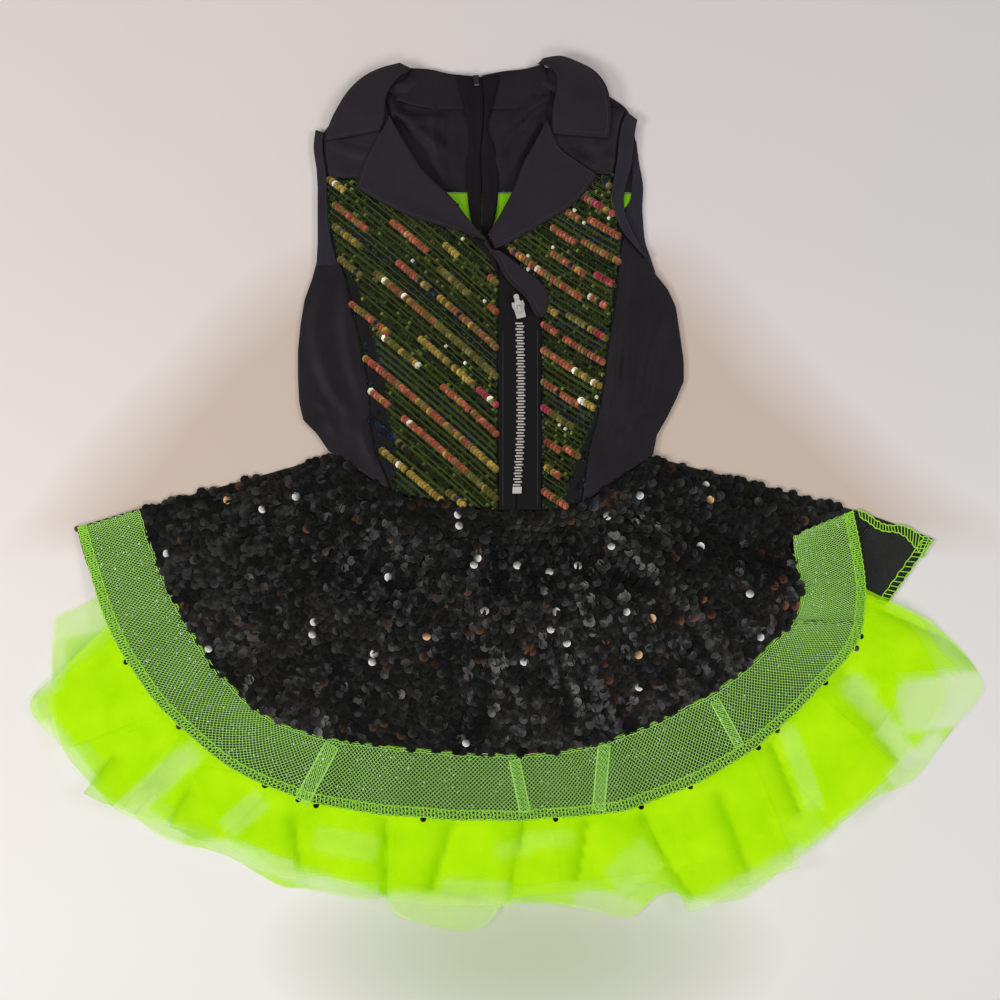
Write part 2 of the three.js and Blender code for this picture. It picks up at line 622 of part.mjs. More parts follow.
// Cloth that runs out from a seam to a fold, round it and back underneath
function wrappedCloth(rows, low, topSteps = 5, turnSteps = 6, underSteps = 3) {
  const half = clothThickness / 2;
  const edge = columns(rows, 'seamX', 'seamY', 'outerX', 'outerY', 'backX', 'backY');
  const steps = topSteps + turnSteps + underSteps;
  const skin = (side) => (u, v) => {
    const step = Math.round(u * steps);
    const seam = new THREE.Vector2(edge.seamX(v), edge.seamY(v));
    const outer = new THREE.Vector2(edge.outerX(v), edge.outerY(v));
    const back = new THREE.Vector2(edge.backX(v), edge.backY(v));
    const outward = outer.clone().sub(seam).normalize();
    const radius = low(outer.x, outer.y) / 2;
    const fold = outer.clone().addScaledVector(outward, -radius - half);
    if (step <= topSteps) {
      const point = seam.lerp(fold, step / topSteps);
      const settle = smoothstep(step, 0, topSteps);
      const height = lerp(low(point.x, point.y), 2 * radius, settle);
      return [point.x, point.y, height + half + side * half];
    }
    if (step <= topSteps + turnSteps) {
      const angle = Math.PI * (0.5 - (step - topSteps) / turnSteps);
      const reach = radius + side * half;
      const point = fold.addScaledVector(outward, reach * Math.cos(angle));
      return [point.x, point.y, half + radius + reach * Math.sin(angle)];
    }
    const point = fold.lerp(back, (step - topSteps - turnSteps) / underSteps);
    return [point.x, point.y, half - side * half];
  };
  return wall(steps, rows.length - 1, skin(-1), skin(1));
}

function sideRows(sections, underarm, outward) {
  return sections.slice(underarm).map((row) => ({
    ...row,
    seamX: row.seamX + outward * seamGap,
    backX: row.outerX - outward * sideWrapUnder,
  }));
}

function frontPanel(sections) {
  const rows = sections.map((row) => ({ aX: row.seamX, aY: row.seamY, bX: row.centreX, bY: row.centreY }));
  return strip(rows, 6, frontLow, clothThickness);
}

// The lower half of the back, from its centre zip to the armhole and the wrapped side
function backPanel(sides, outward, armholeX) {
  const centreX = backZipX + outward * seamGap;
  const row = (aX, aY) => ({ aX, aY, bX: centreX, bY: aY });
  const armhole = [backTopY, (backTopY + sides[0].backY) / 2, sides[0].backY + underarmEase];
  const rows = armhole.map((y) => row(armholeX, y));
  rows.push(...sides.map((side) => row(side.backX - outward * seamGap, side.backY + seamGap)));
  const last = rows[rows.length - 1];
  const edge = columns(rows, 'aX', 'aY', 'bX', 'bY');
  const plan = (u, v) => {
    const x = lerp(edge.aX(v), edge.bX(v), u);
    const drop = backWaist(x) + seamGap - last.aY;
    return [x, lerp(edge.aY(v), edge.bY(v), u) + drop * smoothstep(v, waistBlend, 1)];
  };
  return lyingCloth(4, rows.length - 1, plan, () => 0, clothThickness);
}

function frontSkirt() {
  const line = columns(skirtSections, 'waistX', 'waistY', 'middleX', 'middleY', 'seamX', 'seamY');
  const bow = (start, middle, end, v) => {
    const first = (middle - start) / skirtMiddle;
    const bend = (end - middle) / (1 - skirtMiddle) - first;
    return start + first * v + bend * v * (v - skirtMiddle);
  };
  const plan = (u, v) => [
    bow(line.waistX(u), line.middleX(u), line.seamX(u), v),
    bow(line.waistY(u), line.middleY(u), line.seamY(u), v),
  ];
  return lyingCloth(4 * (skirtSections.length - 1), 9, plan, skirtLow, clothThickness);
}

function frontBand() {
  const line = columns(bandSections, 'seamX', 'seamY', 'hemX', 'hemY');
  const plan = (u, v) => {
    const seam = new THREE.Vector2(line.seamX(u), line.seamY(u));
    const hem = new THREE.Vector2(line.hemX(u), line.hemY(u));
    const width = seam.distanceTo(hem);
    const point = seam.lerp(hem, lerp(seamGap / width, 1, v));
    return [point.x, point.y];
  };
  return lyingCloth(4 * (bandSections.length - 1), 2, plan, skirtLow, clothThickness);
}

// The back skirt and the band along its hem, flat on the surface
function backSkirtPlan(u) {
  const hem = new THREE.Vector2(column(backHem, 'x')(u), column(backHem, 'y')(u));
  const { left, right, gathered } = backSkirtWaist;
  const waistX = lerp(left, right, lerp(u, smoothstep(u, 0, 1), gathered));
  const waist = new THREE.Vector2(waistX, backWaist(waistX) - 2 * seamGap);
  const inward = waist.clone().sub(hem).normalize();
  return { hem, waist, seam: hem.clone().addScaledVector(inward, bandWidth) };
}

function backSkirt() {
  const plan = (u, v) => {
    const { waist, seam } = backSkirtPlan(u);
    const point = waist.lerp(seam, v);
    return [point.x, point.y];
  };
  return lyingCloth(2 * (backHem.length - 1), 3, plan, () => 0, clothThickness);
}

function backBand() {
  const plan = (u, v) => {
    const { hem, seam } = backSkirtPlan(u);
    const point = seam.lerp(hem, lerp(seamGap / bandWidth, 1, v));
    return [point.x, point.y];
  };
  return lyingCloth(2 * (backHem.length - 1), 1, plan, () => 0, clothThickness);
}

// One gathered layer of net, from just under the waist to its wavy edge
function tulleLayer(rows, layer) {
  const edge = columns(rows, 'x', 'y', 'rise');
  const plan = (u, v) => {
    const x = edge.x(u);
    const y = edge.y(u);
    const { turn, down } = onSkirt(x, y);
    const waist = waistReach + waistReachRise * (2 * turn - 1) ** 2;
    const reach = waist + lerp(tulleTopInset, down, v) * (skirtReach - waist);
    const angle = firstAngle + turn * skirtAngle;
    return [skirtCentre.x + reach * Math.cos(angle), skirtCentre.y + reach * Math.sin(angle)];
  };
  const low = (x, y, u) => tulleLow(layer, clamp(edge.rise(u), 0, 1))(x, y);
  return lyingCloth(2 * (rows.length - 1), 6, plan, low, tulleThickness);
}

// Front zip
function zipStrip({ top, bottom, from, to }, height, steps) {
  const centre = columns(zipLine, 'x', 'y');
  const centreAt = (y) => {
    let above = 0;
    let below = 1;
    for (let halving = 0; halving < zipHalvings; halving += 1) {
      const t = (above + below) / 2;
      if (centre.y(t) > y) above = t;
      else below = t;
    }
    return centre.x(above);
  };
  const plan = (u, v) => {
    const y = lerp(top, bottom, v);
    return [lerp(from(centreAt(y)), to(centreAt(y)), u), y];
  };
  return lyingCloth(2, steps, plan, frontLow, height);
}

function solidFrom(geometry) {
  geometry.deleteAttribute('normal');
  geometry.deleteAttribute('uv');
  const merged = mergeVertices(geometry, 1e-4);
  const vertProperties = new Float32Array(merged.attributes.position.array);
  const triVerts = new Uint32Array(merged.index.array);
  return new wasm.Manifold(new wasm.Mesh({ numProp: 3, vertProperties, triVerts }));
}

function geometryFrom(solid) {
  const mesh = solid.getMesh();
  const geometry = new THREE.BufferGeometry();
  geometry.setAttribute('position', new THREE.Float32BufferAttribute(mesh.vertProperties, 3));
  geometry.setIndex([...mesh.triVerts]);
  geometry.computeVertexNormals();
  return geometry;
}

// A closed outline from its right half, given from the bottom to the top
function mirrored(half) {
  const left = half.map(([x, y]) => [-x, y]).reverse();
  return new THREE.Shape([...half, ...left].map(([x, y]) => new THREE.Vector2(x, y)));
}

// Slider body with the bridge that holds the pull, about the point under the hinge
function zipSlider() {
  const half = sliderWidth / 2;
  const end = sliderLength / 2;
  const body = mirrored(sliderOutline.map(({ across, along }) => [across * half, along * end]));
  const plate = new THREE.ExtrudeGeometry(body, { depth: sliderHeight, bevelEnabled: false });
  const outside = bridgeSpan / 2;
  const inside = outside - bridgeThickness;
  const rise = pullThickness + bridgeRoom;
  const arch = new THREE.Shape();
  arch.moveTo(-outside, -bridgeFoot);
  arch.lineTo(-outside, rise);
  arch.lineTo(-inside, rise + bridgeThickness);
  arch.lineTo(inside, rise + bridgeThickness);
  arch.lineTo(outside, rise);
  arch.lineTo(outside, -bridgeFoot);
  arch.lineTo(inside, -bridgeFoot);
  arch.lineTo(inside, rise);
  arch.lineTo(-inside, rise);
  arch.lineTo(-inside, -bridgeFoot);
  const bridge = new THREE.ExtrudeGeometry(arch, { depth: bridgeWidth, bevelEnabled: false });
  bridge.rotateX(Math.PI / 2);
  bridge.rotateZ(Math.PI / 2);
  bridge.translate(-bridgeWidth / 2, 0, sliderHeight);
  return geometryFrom(solidFrom(plate).add(solidFrom(bridge)));
}

function zipPull() {
  const half = pullWidth / 2;
  const bar = pullThickness / 2;
  const tab = mirrored([
    [half, -bar],
    ...pullOutline.map(({ across, along }) => [across * half, along * pullLength]),
    ...pullTipOutline.map(({ across, back }) => [across * half, pullLength - back * pullTip]),
  ]);
  const eye = new THREE.Path();
  const side = bridgeWidth / 2 + pullEyeRoom;
  eye.moveTo(-side, bar);
  eye.lineTo(-side, bar + pullEye);
  eye.lineTo(side, bar + pullEye);
  eye.lineTo(side, bar);
  tab.holes.push(eye);
  const geometry = new THREE.ExtrudeGeometry(tab, { depth: pullThickness, bevelEnabled: false });
  geometry.translate(0, 0, -bar);
  return geometry;
}

function finish(color, roughness, metalness) {
  return new THREE.MeshStandardMaterial({ color, roughness, metalness });
}

const finishes = {
  lycra: () => finish(0x222025, 0.62, 0),
  binding: () => finish(0x201e24, 0.6, 0),
  lapel: () => finish(0x242125, 0.7, 0),
  facing: () => finish(0x1d1b20, 0.7, 0),
  limeLining: () => finish(0x91cd19, 0.65, 0),
  sequinStripe: () => finish(0x3c5a22, 0.4, 0.2),
  sequinBlack: () => finish(0x121014, 0.3, 0.2),
  horsehair: () => finish(0x6fa24a, 0.5, 0),
  tulle: () => finish(0xb0fa00, 0.8, 0),
  tape: () => finish(0x232228, 0.85, 0),
  nickel: () => finish(0xc9c4b8, 0.3, 1),
};

const thicknesses = {
  lycra: clothThickness,
  binding: bindingThickness,
  facing: facingThickness,
  lapel: lapelThickness,
};

const dress = new THREE.Group();

function add(name, geometry, material) {
  const mesh = new THREE.Mesh(geometry, material);
  mesh.name = name;
  dress.add(mesh);
  return mesh;
}

const pieces = [
  { name: 'back_yoke_left', rows: leftBackYoke, across: 5, steps: 2, low: yokeLow, cloth: 'lycra' },
  { name: 'back_yoke_right', rows: rightBackYoke, across: 5, steps: 2, low: yokeLow, cloth: 'lycra' },
  { name: 'back_facing_left', rows: leftBackFacing, across: 2, steps: 2, low: overBack, cloth: 'facing' },
  { name: 'back_facing_right', rows: rightBackFacing, across: 2, steps: 2, low: overBack, cloth: 'facing' },
  { name: 'front_yoke_left', rows: leftFrontYoke, across: 4, steps: 3, low: frontLow, cloth: 'lycra' },
  { name: 'front_yoke_right', rows: rightFrontYoke, across: 4, steps: 3, low: frontLow, cloth: 'lycra' },
  { name: 'armhole_binding_left', rows: leftBinding, across: 1, steps: 1, low: frontLow, cloth: 'binding' },
  { name: 'armhole_binding_right', rows: rightBinding, across: 1, steps: 1, low: frontLow, cloth: 'binding' },
  { name: 'lapel_tab', rows: lapelTab, across: 3, steps: 1, low: overFront, cloth: 'lapel' },
  { name: 'lapel_left', rows: leftLapel, across: 5, steps: 2, low: overFront, cloth: 'lapel' },
  { name: 'lapel_right', rows: rightLapel, across: 5, steps: 2, low: overFront, cloth: 'lapel' },
  { name: 'collar_left', rows: leftCollar, across: 4, steps: 2, low: overFront, cloth: 'lapel' },
  { name: 'collar_right', rows: rightCollar, across: 4, steps: 2, low: overFront, cloth: 'lapel' },
];
for (const { name, rows, across, steps, low, cloth } of pieces) {
  add(name, strip(rows, across, low, thicknesses[cloth], steps), finishes[cloth]());
}

const standLow = (x, y) => backTop(y) + layerGap;
add('collar_stand_left', wrappedCloth(leftCollarStand, standLow, 3, 6, 2), finishes.lapel());
add('collar_stand_right', wrappedCloth(rightCollarStand, standLow, 3, 6, 2), finishes.lapel());
const leftSide = sideRows(leftSections, leftUnderarmRow, -1);
const rightSide = sideRows(rightSections, rightUnderarmRow, 1);
add('side_panel_left', wrappedCloth(leftSide, frontLow), finishes.lycra());
add('side_panel_right', wrappedCloth(rightSide, frontLow), finishes.lycra());
add('back_panel_left', backPanel(leftSide, -1, backArmholeLeft), finishes.limeLining());
add('back_panel_right', backPanel(rightSide, 1, backArmholeRight), finishes.limeLining());
add('front_panel_left', frontPanel(leftSections), finishes.sequinStripe());
add('front_panel_right', frontPanel(rightSections), finishes.sequinStripe());

const chainHalf = chainWidth / 2;
const tapeEdge = chainHalf + seamGap;
const stopHalf = chainHalf + stopOverhang;
const leftTape = { top: tapeTopLeft, bottom: tapeBottom, from: () => tapeLeftX, to: (c) => c - tapeEdge };
const rightTape = { top: tapeTopRight, bottom: tapeBottom, from: (c) => c + tapeEdge, to: () => tapeRightX };
const chain = { top: chainTop, bottom: chainBottom, from: (c) => c - chainHalf, to: (c) => c + chainHalf };
const stopTop = chainBottom - seamGap;
const stop = { top: stopTop, bottom: stopTop - stopLength, from: (c) => c - stopHalf, to: (c) => c + stopHalf };
add('zip_tape_left', zipStrip(leftTape, clothThickness, 12), finishes.tape());
add('zip_tape_right', zipStrip(rightTape, clothThickness, 12), finishes.tape());
add('zip_chain', zipStrip(chain, chainHeight, 10), finishes.nickel());
add('zip_stop', zipStrip(stop, stopHeight, 1), finishes.nickel());

const sliderBase = frontLow(zipLine[1].x, sliderY) + clothThickness + seamGap;
const hingeHeight = sliderBase + sliderHeight + bridgeThickness + pullThickness / 2;
const slider = add('zip_slider', zipSlider(), finishes.nickel());
slider.rotation.z = sliderTurn;
slider.position.set(zipLine[1].x, sliderY, sliderBase);
const pull = add('zip_pull', zipPull(), finishes.nickel());
pull.rotation.z = sliderTurn;
pull.position.set(zipLine[1].x, sliderY, hingeHeight);

add('skirt_back', backSkirt(), finishes.sequinBlack());
add('hem_band_back', backBand(), finishes.horsehair());
add('tulle_lower', tulleLayer(lowerTulle, 0), finishes.tulle());
add('tulle_middle', tulleLayer(middleTulle, 1), finishes.tulle());
add('tulle_upper', tulleLayer(upperTulle, 2), finishes.tulle());
add('skirt_front', frontSkirt(), finishes.sequinBlack());
add('hem_band_front', frontBand(), finishes.horsehair());

export default dress;
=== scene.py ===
import math

import bpy
import numpy as np
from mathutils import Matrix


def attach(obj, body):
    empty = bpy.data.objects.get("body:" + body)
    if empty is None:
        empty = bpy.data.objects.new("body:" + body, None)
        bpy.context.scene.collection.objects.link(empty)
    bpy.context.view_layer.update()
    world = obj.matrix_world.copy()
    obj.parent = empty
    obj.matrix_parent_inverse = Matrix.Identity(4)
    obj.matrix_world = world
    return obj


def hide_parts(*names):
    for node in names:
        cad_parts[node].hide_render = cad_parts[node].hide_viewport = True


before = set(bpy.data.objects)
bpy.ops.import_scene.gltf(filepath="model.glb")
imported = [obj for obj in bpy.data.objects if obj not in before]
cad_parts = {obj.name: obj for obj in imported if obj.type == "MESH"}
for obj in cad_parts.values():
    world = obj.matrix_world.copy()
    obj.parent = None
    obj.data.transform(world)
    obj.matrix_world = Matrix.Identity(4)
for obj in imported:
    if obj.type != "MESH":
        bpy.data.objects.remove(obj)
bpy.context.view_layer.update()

# Everything below is worked out in millimetres in the frame's axes, and written to the meshes
# in metres.
MM = 0.001
BODY = "dress"
TURN = 2 * math.pi
ANY_ANGLE = 0, 6.28

# The photograph: straight down from above, one pixel for 0.75 mm of the surface
PICTURE_MM = 750
CAMERA_X, CAMERA_Y, CAMERA_Z = -5.6, -6.8, 1200
SENSOR = 36

# Thickness of the cloths, and the gaps at seams and between layers
CLOTH = 1.2
BINDING = 1.8
LAPEL = 2.0
FACING = 1.0
THIN_FACING = 0.8
SKIRT_CLOTH = 0.9
NET = 0.5
SEAM = 0.3
LAYER = 0.4
# No strip is cut narrower than this, with its turned edges
NARROWEST_CUT = 10.5


def make_camera():
    data = bpy.data.cameras.new("camera")
    data.type = "PERSP"
    data.sensor_width = SENSOR
    data.lens = SENSOR * CAMERA_Z / PICTURE_MM
    data.clip_start = 0.01
    camera = bpy.data.objects.new("camera", data)
    camera.location = (CAMERA_X * MM, CAMERA_Y * MM, CAMERA_Z * MM)
    bpy.context.collection.objects.link(camera)
    bpy.context.scene.camera = camera


make_camera()


# Curves and tables

def table(names, *rows):
    """The named columns of a table, each an array with a number for each row."""
    return {name: np.array(column, float) for name, column in zip(names.split(), zip(*rows))}


def tables(names, rows_of):
    return {key: table(names, *rows) for key, rows in rows_of.items()}


def follow(values, t, corners=()):
    """A smooth curve through the values, read at t from 0 to 1; it stops short at the corners."""
    last = len(values) - 1
    slope = np.gradient(values)
    slope[[0, -1]] /= 2
    slope[list(corners)] = 0
    place = np.clip(t, 0, 1) * last
    i = np.minimum(place.astype(int), last - 1)
    f = place - i
    g = 1 - f
    ends = values[i] * (1 + 2 * f) * g * g + values[i + 1] * f * f * (3 - 2 * f)
    return ends + slope[i] * f * g * g - slope[i + 1] * f * f * g


def ease(value, low, high):
    t = np.clip((value - low) / (high - low), 0, 1)
    return t * t * (3 - 2 * t)


def mix(a, b, t):
    return a + (b - a) * t


def ripples(x, y, size, seed, count=7):
    """Smooth uneven noise of about -1 to 1, with waves of about the given size."""
    pick = np.random.default_rng(seed)
    total = 0
    for _ in range(count):
        angle = pick.uniform(0, TURN)
        wave = TURN / (size * pick.uniform(0.7, 1.6))
        along = x * math.cos(angle) + y * math.sin(angle)
        total = total + np.sin(wave * along + pick.uniform(*ANY_ANGLE))
    return total / math.sqrt(count)


def creases(x, y, rows):
    """Soft ridges and troughs, each along a line between two points, fading at both ends."""
    height = 0
    for x0, y0, x1, y1, wide, high in rows:
        length = math.hypot(x1 - x0, y1 - y0)
        ux, uy = (x1 - x0) / length, (y1 - y0) / length
        along = ((x - x0) * ux + (y - y0) * uy) / length
        bow = 0.06 * length * np.sin(math.pi * np.clip(along, 0, 1))
        across = (x - x0) * uy - (y - y0) * ux - bow
        fade = ease(along, -0.15, 0.25) * (1 - ease(along, 0.7, 1.15))
        height = height + high * fade * np.exp(-((across / wide) ** 2))
    return height


def spaced(count, rim=0.02):
    """Places from 0 to 1 with one more just inside each end, so that an edge can be rounded."""
    inner = np.linspace(rim, 1 - rim, count)
    return np.concatenate([[0], inner, [1]])


# Heights of the garment's layers, as in the frame

def back_top(y):
    return CLOTH + 1.6 * ease(y, 268, 280)


def front_low(x, y):
    out = (x + 12) / 140
    return back_top(y) + 1.2 + 2.4 * np.maximum(0, 1 - out * out)


def over_front(x, y):
    return front_low(x, y) + CLOTH + LAYER


def over_back(x, y):
    return back_top(y) + LAYER + 1.6 * ease(y, 276, 286)


def back_waist(x):
    return 12.5 + 14 * ((x + 12) / 122) ** 2


SKIRT_X, SKIRT_Y, SKIRT_REACH = -12, 62, 315
FIRST_ANGLE, SKIRT_ANGLE = math.radians(195.5), math.radians(149)


def waist_reach(turn):
    return 78 + 48 * (2 * turn - 1) ** 2


def on_skirt(x, y):
    """turn goes round from side edge to side edge, down from the waist to the hem."""
    angle = np.arctan2(y - SKIRT_Y, x - SKIRT_X) % TURN
    turn = (angle - FIRST_ANGLE) / SKIRT_ANGLE
    waist = waist_reach(turn)
    return turn, (np.hypot(x - SKIRT_X, y - SKIRT_Y) - waist) / (SKIRT_REACH - waist)


def from_skirt(turn, down):
    waist = waist_reach(turn)
    reach = waist + down * (SKIRT_REACH - waist)
    angle = FIRST_ANGLE + turn * SKIRT_ANGLE
    return SKIRT_X + reach * np.cos(angle), SKIRT_Y + reach * np.sin(angle)


def fullness(turn, down):
    sides = ease(turn, 0.03, 0.18) * (1 - ease(turn, 0.82, 0.97))
    return sides * (ease(down, 0.05, 0.4) - 0.45 * ease(down, 0.6, 1) + 0.15 * ease(down, 1, 1.2))


SKIRT_FOLDS = table(
    "turn high wide start",
    (0.1, 3.5, 0.03, 0.05), (0.17, 5, 0.028, 0), (0.25, 3.5, 0.024, 0.1), (0.331, 5.5, 0.02, 0.15),
    (0.4, 3.5, 0.025, 0), (0.46, 3, 0.022, 0.2), (0.525, 4.5, 0.018, 0.1), (0.575, 4, 0.02, 0),
    (0.623, 6, 0.018, 0.1), (0.69, 4, 0.025, 0.05), (0.748, 6, 0.02, 0.1), (0.81, 4.5, 0.025, 0),
    (0.88, 5, 0.03, 0),
)


def skirt_low(x, y):
    turn, down = on_skirt(x, y)
    full = fullness(turn, down)
    sides = ease(turn, 0, 0.06) * (1 - ease(turn, 0.94, 1))
    folds = 0
    for at, high, wide, start in zip(*SKIRT_FOLDS.values()):
        across = np.exp(-(((turn - at) / wide) ** 2))
        folds = folds + high * across * ease(down, start, start + 0.35)
    low = CLOTH + LAYER + sides * (3 * (1.5 + 4.5 * full) + full + folds)
    return mix(front_low(x, y), low, ease(down, 0, 0.1))


# Meshes

def make_piece(name, points, faces, look, smooth=True):
    mesh = bpy.data.meshes.new(name)
    mesh.from_pydata((np.asarray(points) * MM).tolist(), [], np.asarray(faces).tolist())
    mesh.update()
    mesh.materials.append(look)
    mesh.polygons.foreach_set("use_smooth", np.full(len(mesh.polygons), smooth))
    piece = bpy.data.objects.new(name, mesh)
    bpy.context.collection.objects.link(piece)
    return piece


def edge_of(shape):
    """Which points of a grid are on its edge."""
    rim = np.ones(shape, bool)
    rim[1:-1, 1:-1] = False
    return rim


def quads(index):
    """The faces between neighbours in a grid of point numbers."""
    corners = index[:-1, :-1], index[1:, :-1], index[1:, 1:], index[:-1, 1:]
    return np.stack(corners, -1).reshape(-1, 4)


def thin_wall(name, outer, inner, outward, look):
    """A closed wall between two grids of points that meet at the edge."""
    rim = edge_of(outer.shape[:2])
    upper = np.arange(rim.size).reshape(rim.shape)
    lower = upper.copy()
    lower[~rim] = rim.size + np.arange((~rim).sum())
    points = np.concatenate([outer.reshape(-1, 3), inner[~rim]])
    way = 1 if outward else -1
    faces = np.concatenate([quads(upper)[:, ::way], quads(lower)[:, ::-way]])
    return make_piece(name, points, faces, look)


def sheet_mesh(name, x, y, low, thick, look):
    """A closed thin wall over a grid of plan points, with its edges rounded."""
    rim = edge_of(x.shape)
    middle = low + thick / 2
    outer = np.stack([x, y, np.where(rim, middle, low + thick)], -1)
    inner = np.stack([x, y, np.where(rim, middle, low)], -1)
    across_x, across_y = (np.diff(values, axis=1)[:-1] for values in (x, y))
    along_x, along_y = (np.diff(values, axis=0)[:, :-1] for values in (x, y))
    outward = np.mean(across_x * along_y - across_y * along_x) <= 0
    return thin_wall(name, outer, inner, outward, look)


def cut_of(x, y, z):
    """The cut size of a sheet from its grid: width, length and area in metres."""
    def steps(axis):
        return np.sqrt(sum(np.diff(c, axis=axis) ** 2 for c in (x, y, z)))
    across, along = steps(1), steps(0)
    area = float((0.5 * (across[:-1] + across[1:]) * 0.5 * (along[:, :-1] + along[:, 1:])).sum())
    width, length = max(float(across.sum(1).max()), NARROWEST_CUT), float(along.sum(0).max())
    return (width * MM, length * MM), min(area, width * length) * MM * MM


def settle(piece, slot, nodes=(), grid=None, held="laid", rests_on=()):
    """Puts a piece on the dress and hides the parts it stands for; for one with a grid it works
    out its cut size.
    """
    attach(piece, BODY)
    if nodes:
        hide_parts(*nodes)
    if grid is not None:
        flat, area = cut_of(*grid)


def lay_sheet(name, x, y, low, thick, look, slot, nodes=(), **cloth):
    """A sheet of cloth over a grid of plan points, on the dress."""
    piece = sheet_mesh(name, x, y, low, thick, look)
    settle(piece, slot, nodes, (x, y, low), **cloth)
    return piece


# Shader maths

class Wire:
    """A number on a shader's wire; Python's operators add its Math nodes."""

    def __init__(self, look, socket):
        self.look, self.socket = look, socket

    def math(self, operation, *values):
        return self.look.node("Math", {"operation": operation}, values)

    def __add__(self, other):
        return self.math("ADD", self, other)

    def __sub__(self, other):
        return self.math("SUBTRACT", self, other)

    def __rsub__(self, other):
        return self.math("SUBTRACT", other, self)

    def __mul__(self, other):
        return self.math("MULTIPLY", self, other)

    def __truediv__(self, other):
        return self.math("DIVIDE", self, other)

    def __pow__(self, other):
        return self.math("POWER", self, other)

    __radd__, __rmul__ = __add__, __mul__

    def clamp(self):
        made = self.math("ADD", self, 0)
        made.socket.node.use_clamp = True
        return made


class Look:
    """A material and the nodes that make it."""

    def __init__(self, name):
        self.material = bpy.data.materials.new(name)
        self.material.use_nodes = True
        self.tree = self.material.node_tree
        self.shader = self.tree.nodes["Principled BSDF"]

    def node(self, kind, settings=None, values=(), out=0):
        """A node of the kind, its settings first, then its sockets in order or by name."""
        node = self.tree.nodes.new("ShaderNode" + kind)
        for key, value in (settings or {}).items():
            setattr(node, key, value)
        pairs = values.items() if isinstance(values, dict) else enumerate(values)
        for key, value in pairs:
            self.put(node.inputs[key], value)
        return Wire(self, node.outputs[out])

    def put(self, socket, value):
        if isinstance(value, Wire):
            self.tree.links.new(value.socket, socket)
        elif isinstance(value, tuple) and socket.type == "RGBA":
            socket.default_value = (*value[:3], 1)
        else:
            socket.default_value = value

    def set(self, **values):
        for key, value in values.items():
            self.put(self.shader.inputs[key.replace("_", " ")], value)
        return self

    def place(self):
        return self.node("TexCoord", out="Object")

    def sized(self, size):
        return {"Vector": self.place(), "Scale": 1 / (size * MM)}

    def noise(self, size, detail=3, rough=0.5):
        """Noise from 0 to 1 with lumps of about the given size in millimetres."""
        values = {**self.sized(size), "Detail": detail, "Roughness": rough}
        return self.node("TexNoise", {}, values)

    def cells(self, size):
        return self.node("TexVoronoi", {}, self.sized(size))

    def colours(self, amount, *stops):
        """Colours between the stops, each a place from 0 to 1 and a colour."""
        wire = self.node("ValToRGB", {}, (amount,))
        ramp = wire.socket.node.color_ramp
        while len(ramp.elements) < len(stops):
            ramp.elements.new(1)
        for element, (at, colour) in zip(ramp.elements, stops):
            element.position = at
            element.color = (*colour, 1)
        return wire

    def blend(self, amount, a, b, how="MIX"):
        settings = {"data_type": "RGBA", "blend_type": how}
        return self.node("Mix", settings, {0: amount, 6: a, 7: b}, out=2)

    def split(self, vector):
        wire = self.node("SeparateXYZ", {}, (vector,))
        return [Wire(self, output) for output in wire.socket.node.outputs]

    def wave(self, phase):
        return phase.math("SINE", phase)

    def tint(self):
        return self.node("VertexColor", {"layer_name": "tint"})

    def bump(self, height, deep, strength=1.0):
        values = {"Height": height, "Distance": deep * MM, "Strength": strength}
        self.put(self.shader.inputs["Normal"], self.node("Bump", {}, values))
        return self


def srgb(red, green, blue):
    def linear(value):
        value /= 255
        return value / 12.92 if value <= 0.04045 else ((value + 0.055) / 1.055) ** 2.4
    return tuple(linear(value) for value in (red, green, blue))


def knit_look(name, colour, light, rough, sheen, rib):
    """Fine stretch knit: columns of small loops, a slow change of colour and a soft sheen."""
    look = Look(name)
    x, y, _ = look.split(look.place())
    across = look.wave(x * (TURN / (rib * MM)))
    along = look.wave(y * (TURN / (0.8 * rib * MM)) + across * 0.8)
    loops = across * 0.5 + along * 0.35
    worn = look.noise(38, detail=5)
    grain = look.noise(1.6, detail=2)
    shade = look.colours(worn * 0.7 + grain * 0.3, (0.3, colour), (0.75, light))
    look.set(Base_Color=shade, Roughness=(worn * 0.12 + (rough - 0.06) + grain * 0.06).clamp())
    look.set(Sheen_Weight=sheen, Sheen_Roughness=0.4, Specular_IOR_Level=0.2)
    look.shader.inputs["Sheen Tint"].default_value = (0.6, 0.63, 0.75, 1)
    return look.bump(loops + grain * 0.8, 0.05, 0.6).material


BLACK_KNIT = knit_look("black_lycra", srgb(20, 17, 22), srgb(38, 35, 43), 0.5, 0.06, 0.9)
BINDING_KNIT = knit_look("armhole_binding", srgb(26, 24, 31), srgb(44, 42, 54), 0.48, 0.08, 0.8)
# A darker copy of the black lycra for the side panels, collar stands and back yokes: painted
# shade.
SHADED_KNIT = knit_look("black_lycra_painted_shade", srgb(14, 11, 15), srgb(31, 28, 34), 0.55, 0.04, 0.9)
CREPE = knit_look("lapel_cloth", srgb(33, 28, 34), srgb(43, 37, 44), 0.75, 0.03, 0.5)
FACING_CLOTH = knit_look("zip_facing", srgb(13, 9, 13), srgb(25, 20, 25), 0.8, 0.03, 0.6)
LIME_KNIT = knit_look("lime_lining", srgb(120, 190, 14), srgb(150, 225, 25), 0.75, 0.04, 0.9)


def thread_look(name, dark, light, rough=0.6, shine=0.3):
    look = Look(name)
    twist = look.noise(0.7, detail=2)
    look.set(Base_Color=look.colours(twist, (0.3, dark), (0.7, light)))
    look.set(Roughness=rough + (twist - 0.5) * 0.2, Specular_IOR_Level=shine)
    return look.bump(twist, 0.1, 0.5).material


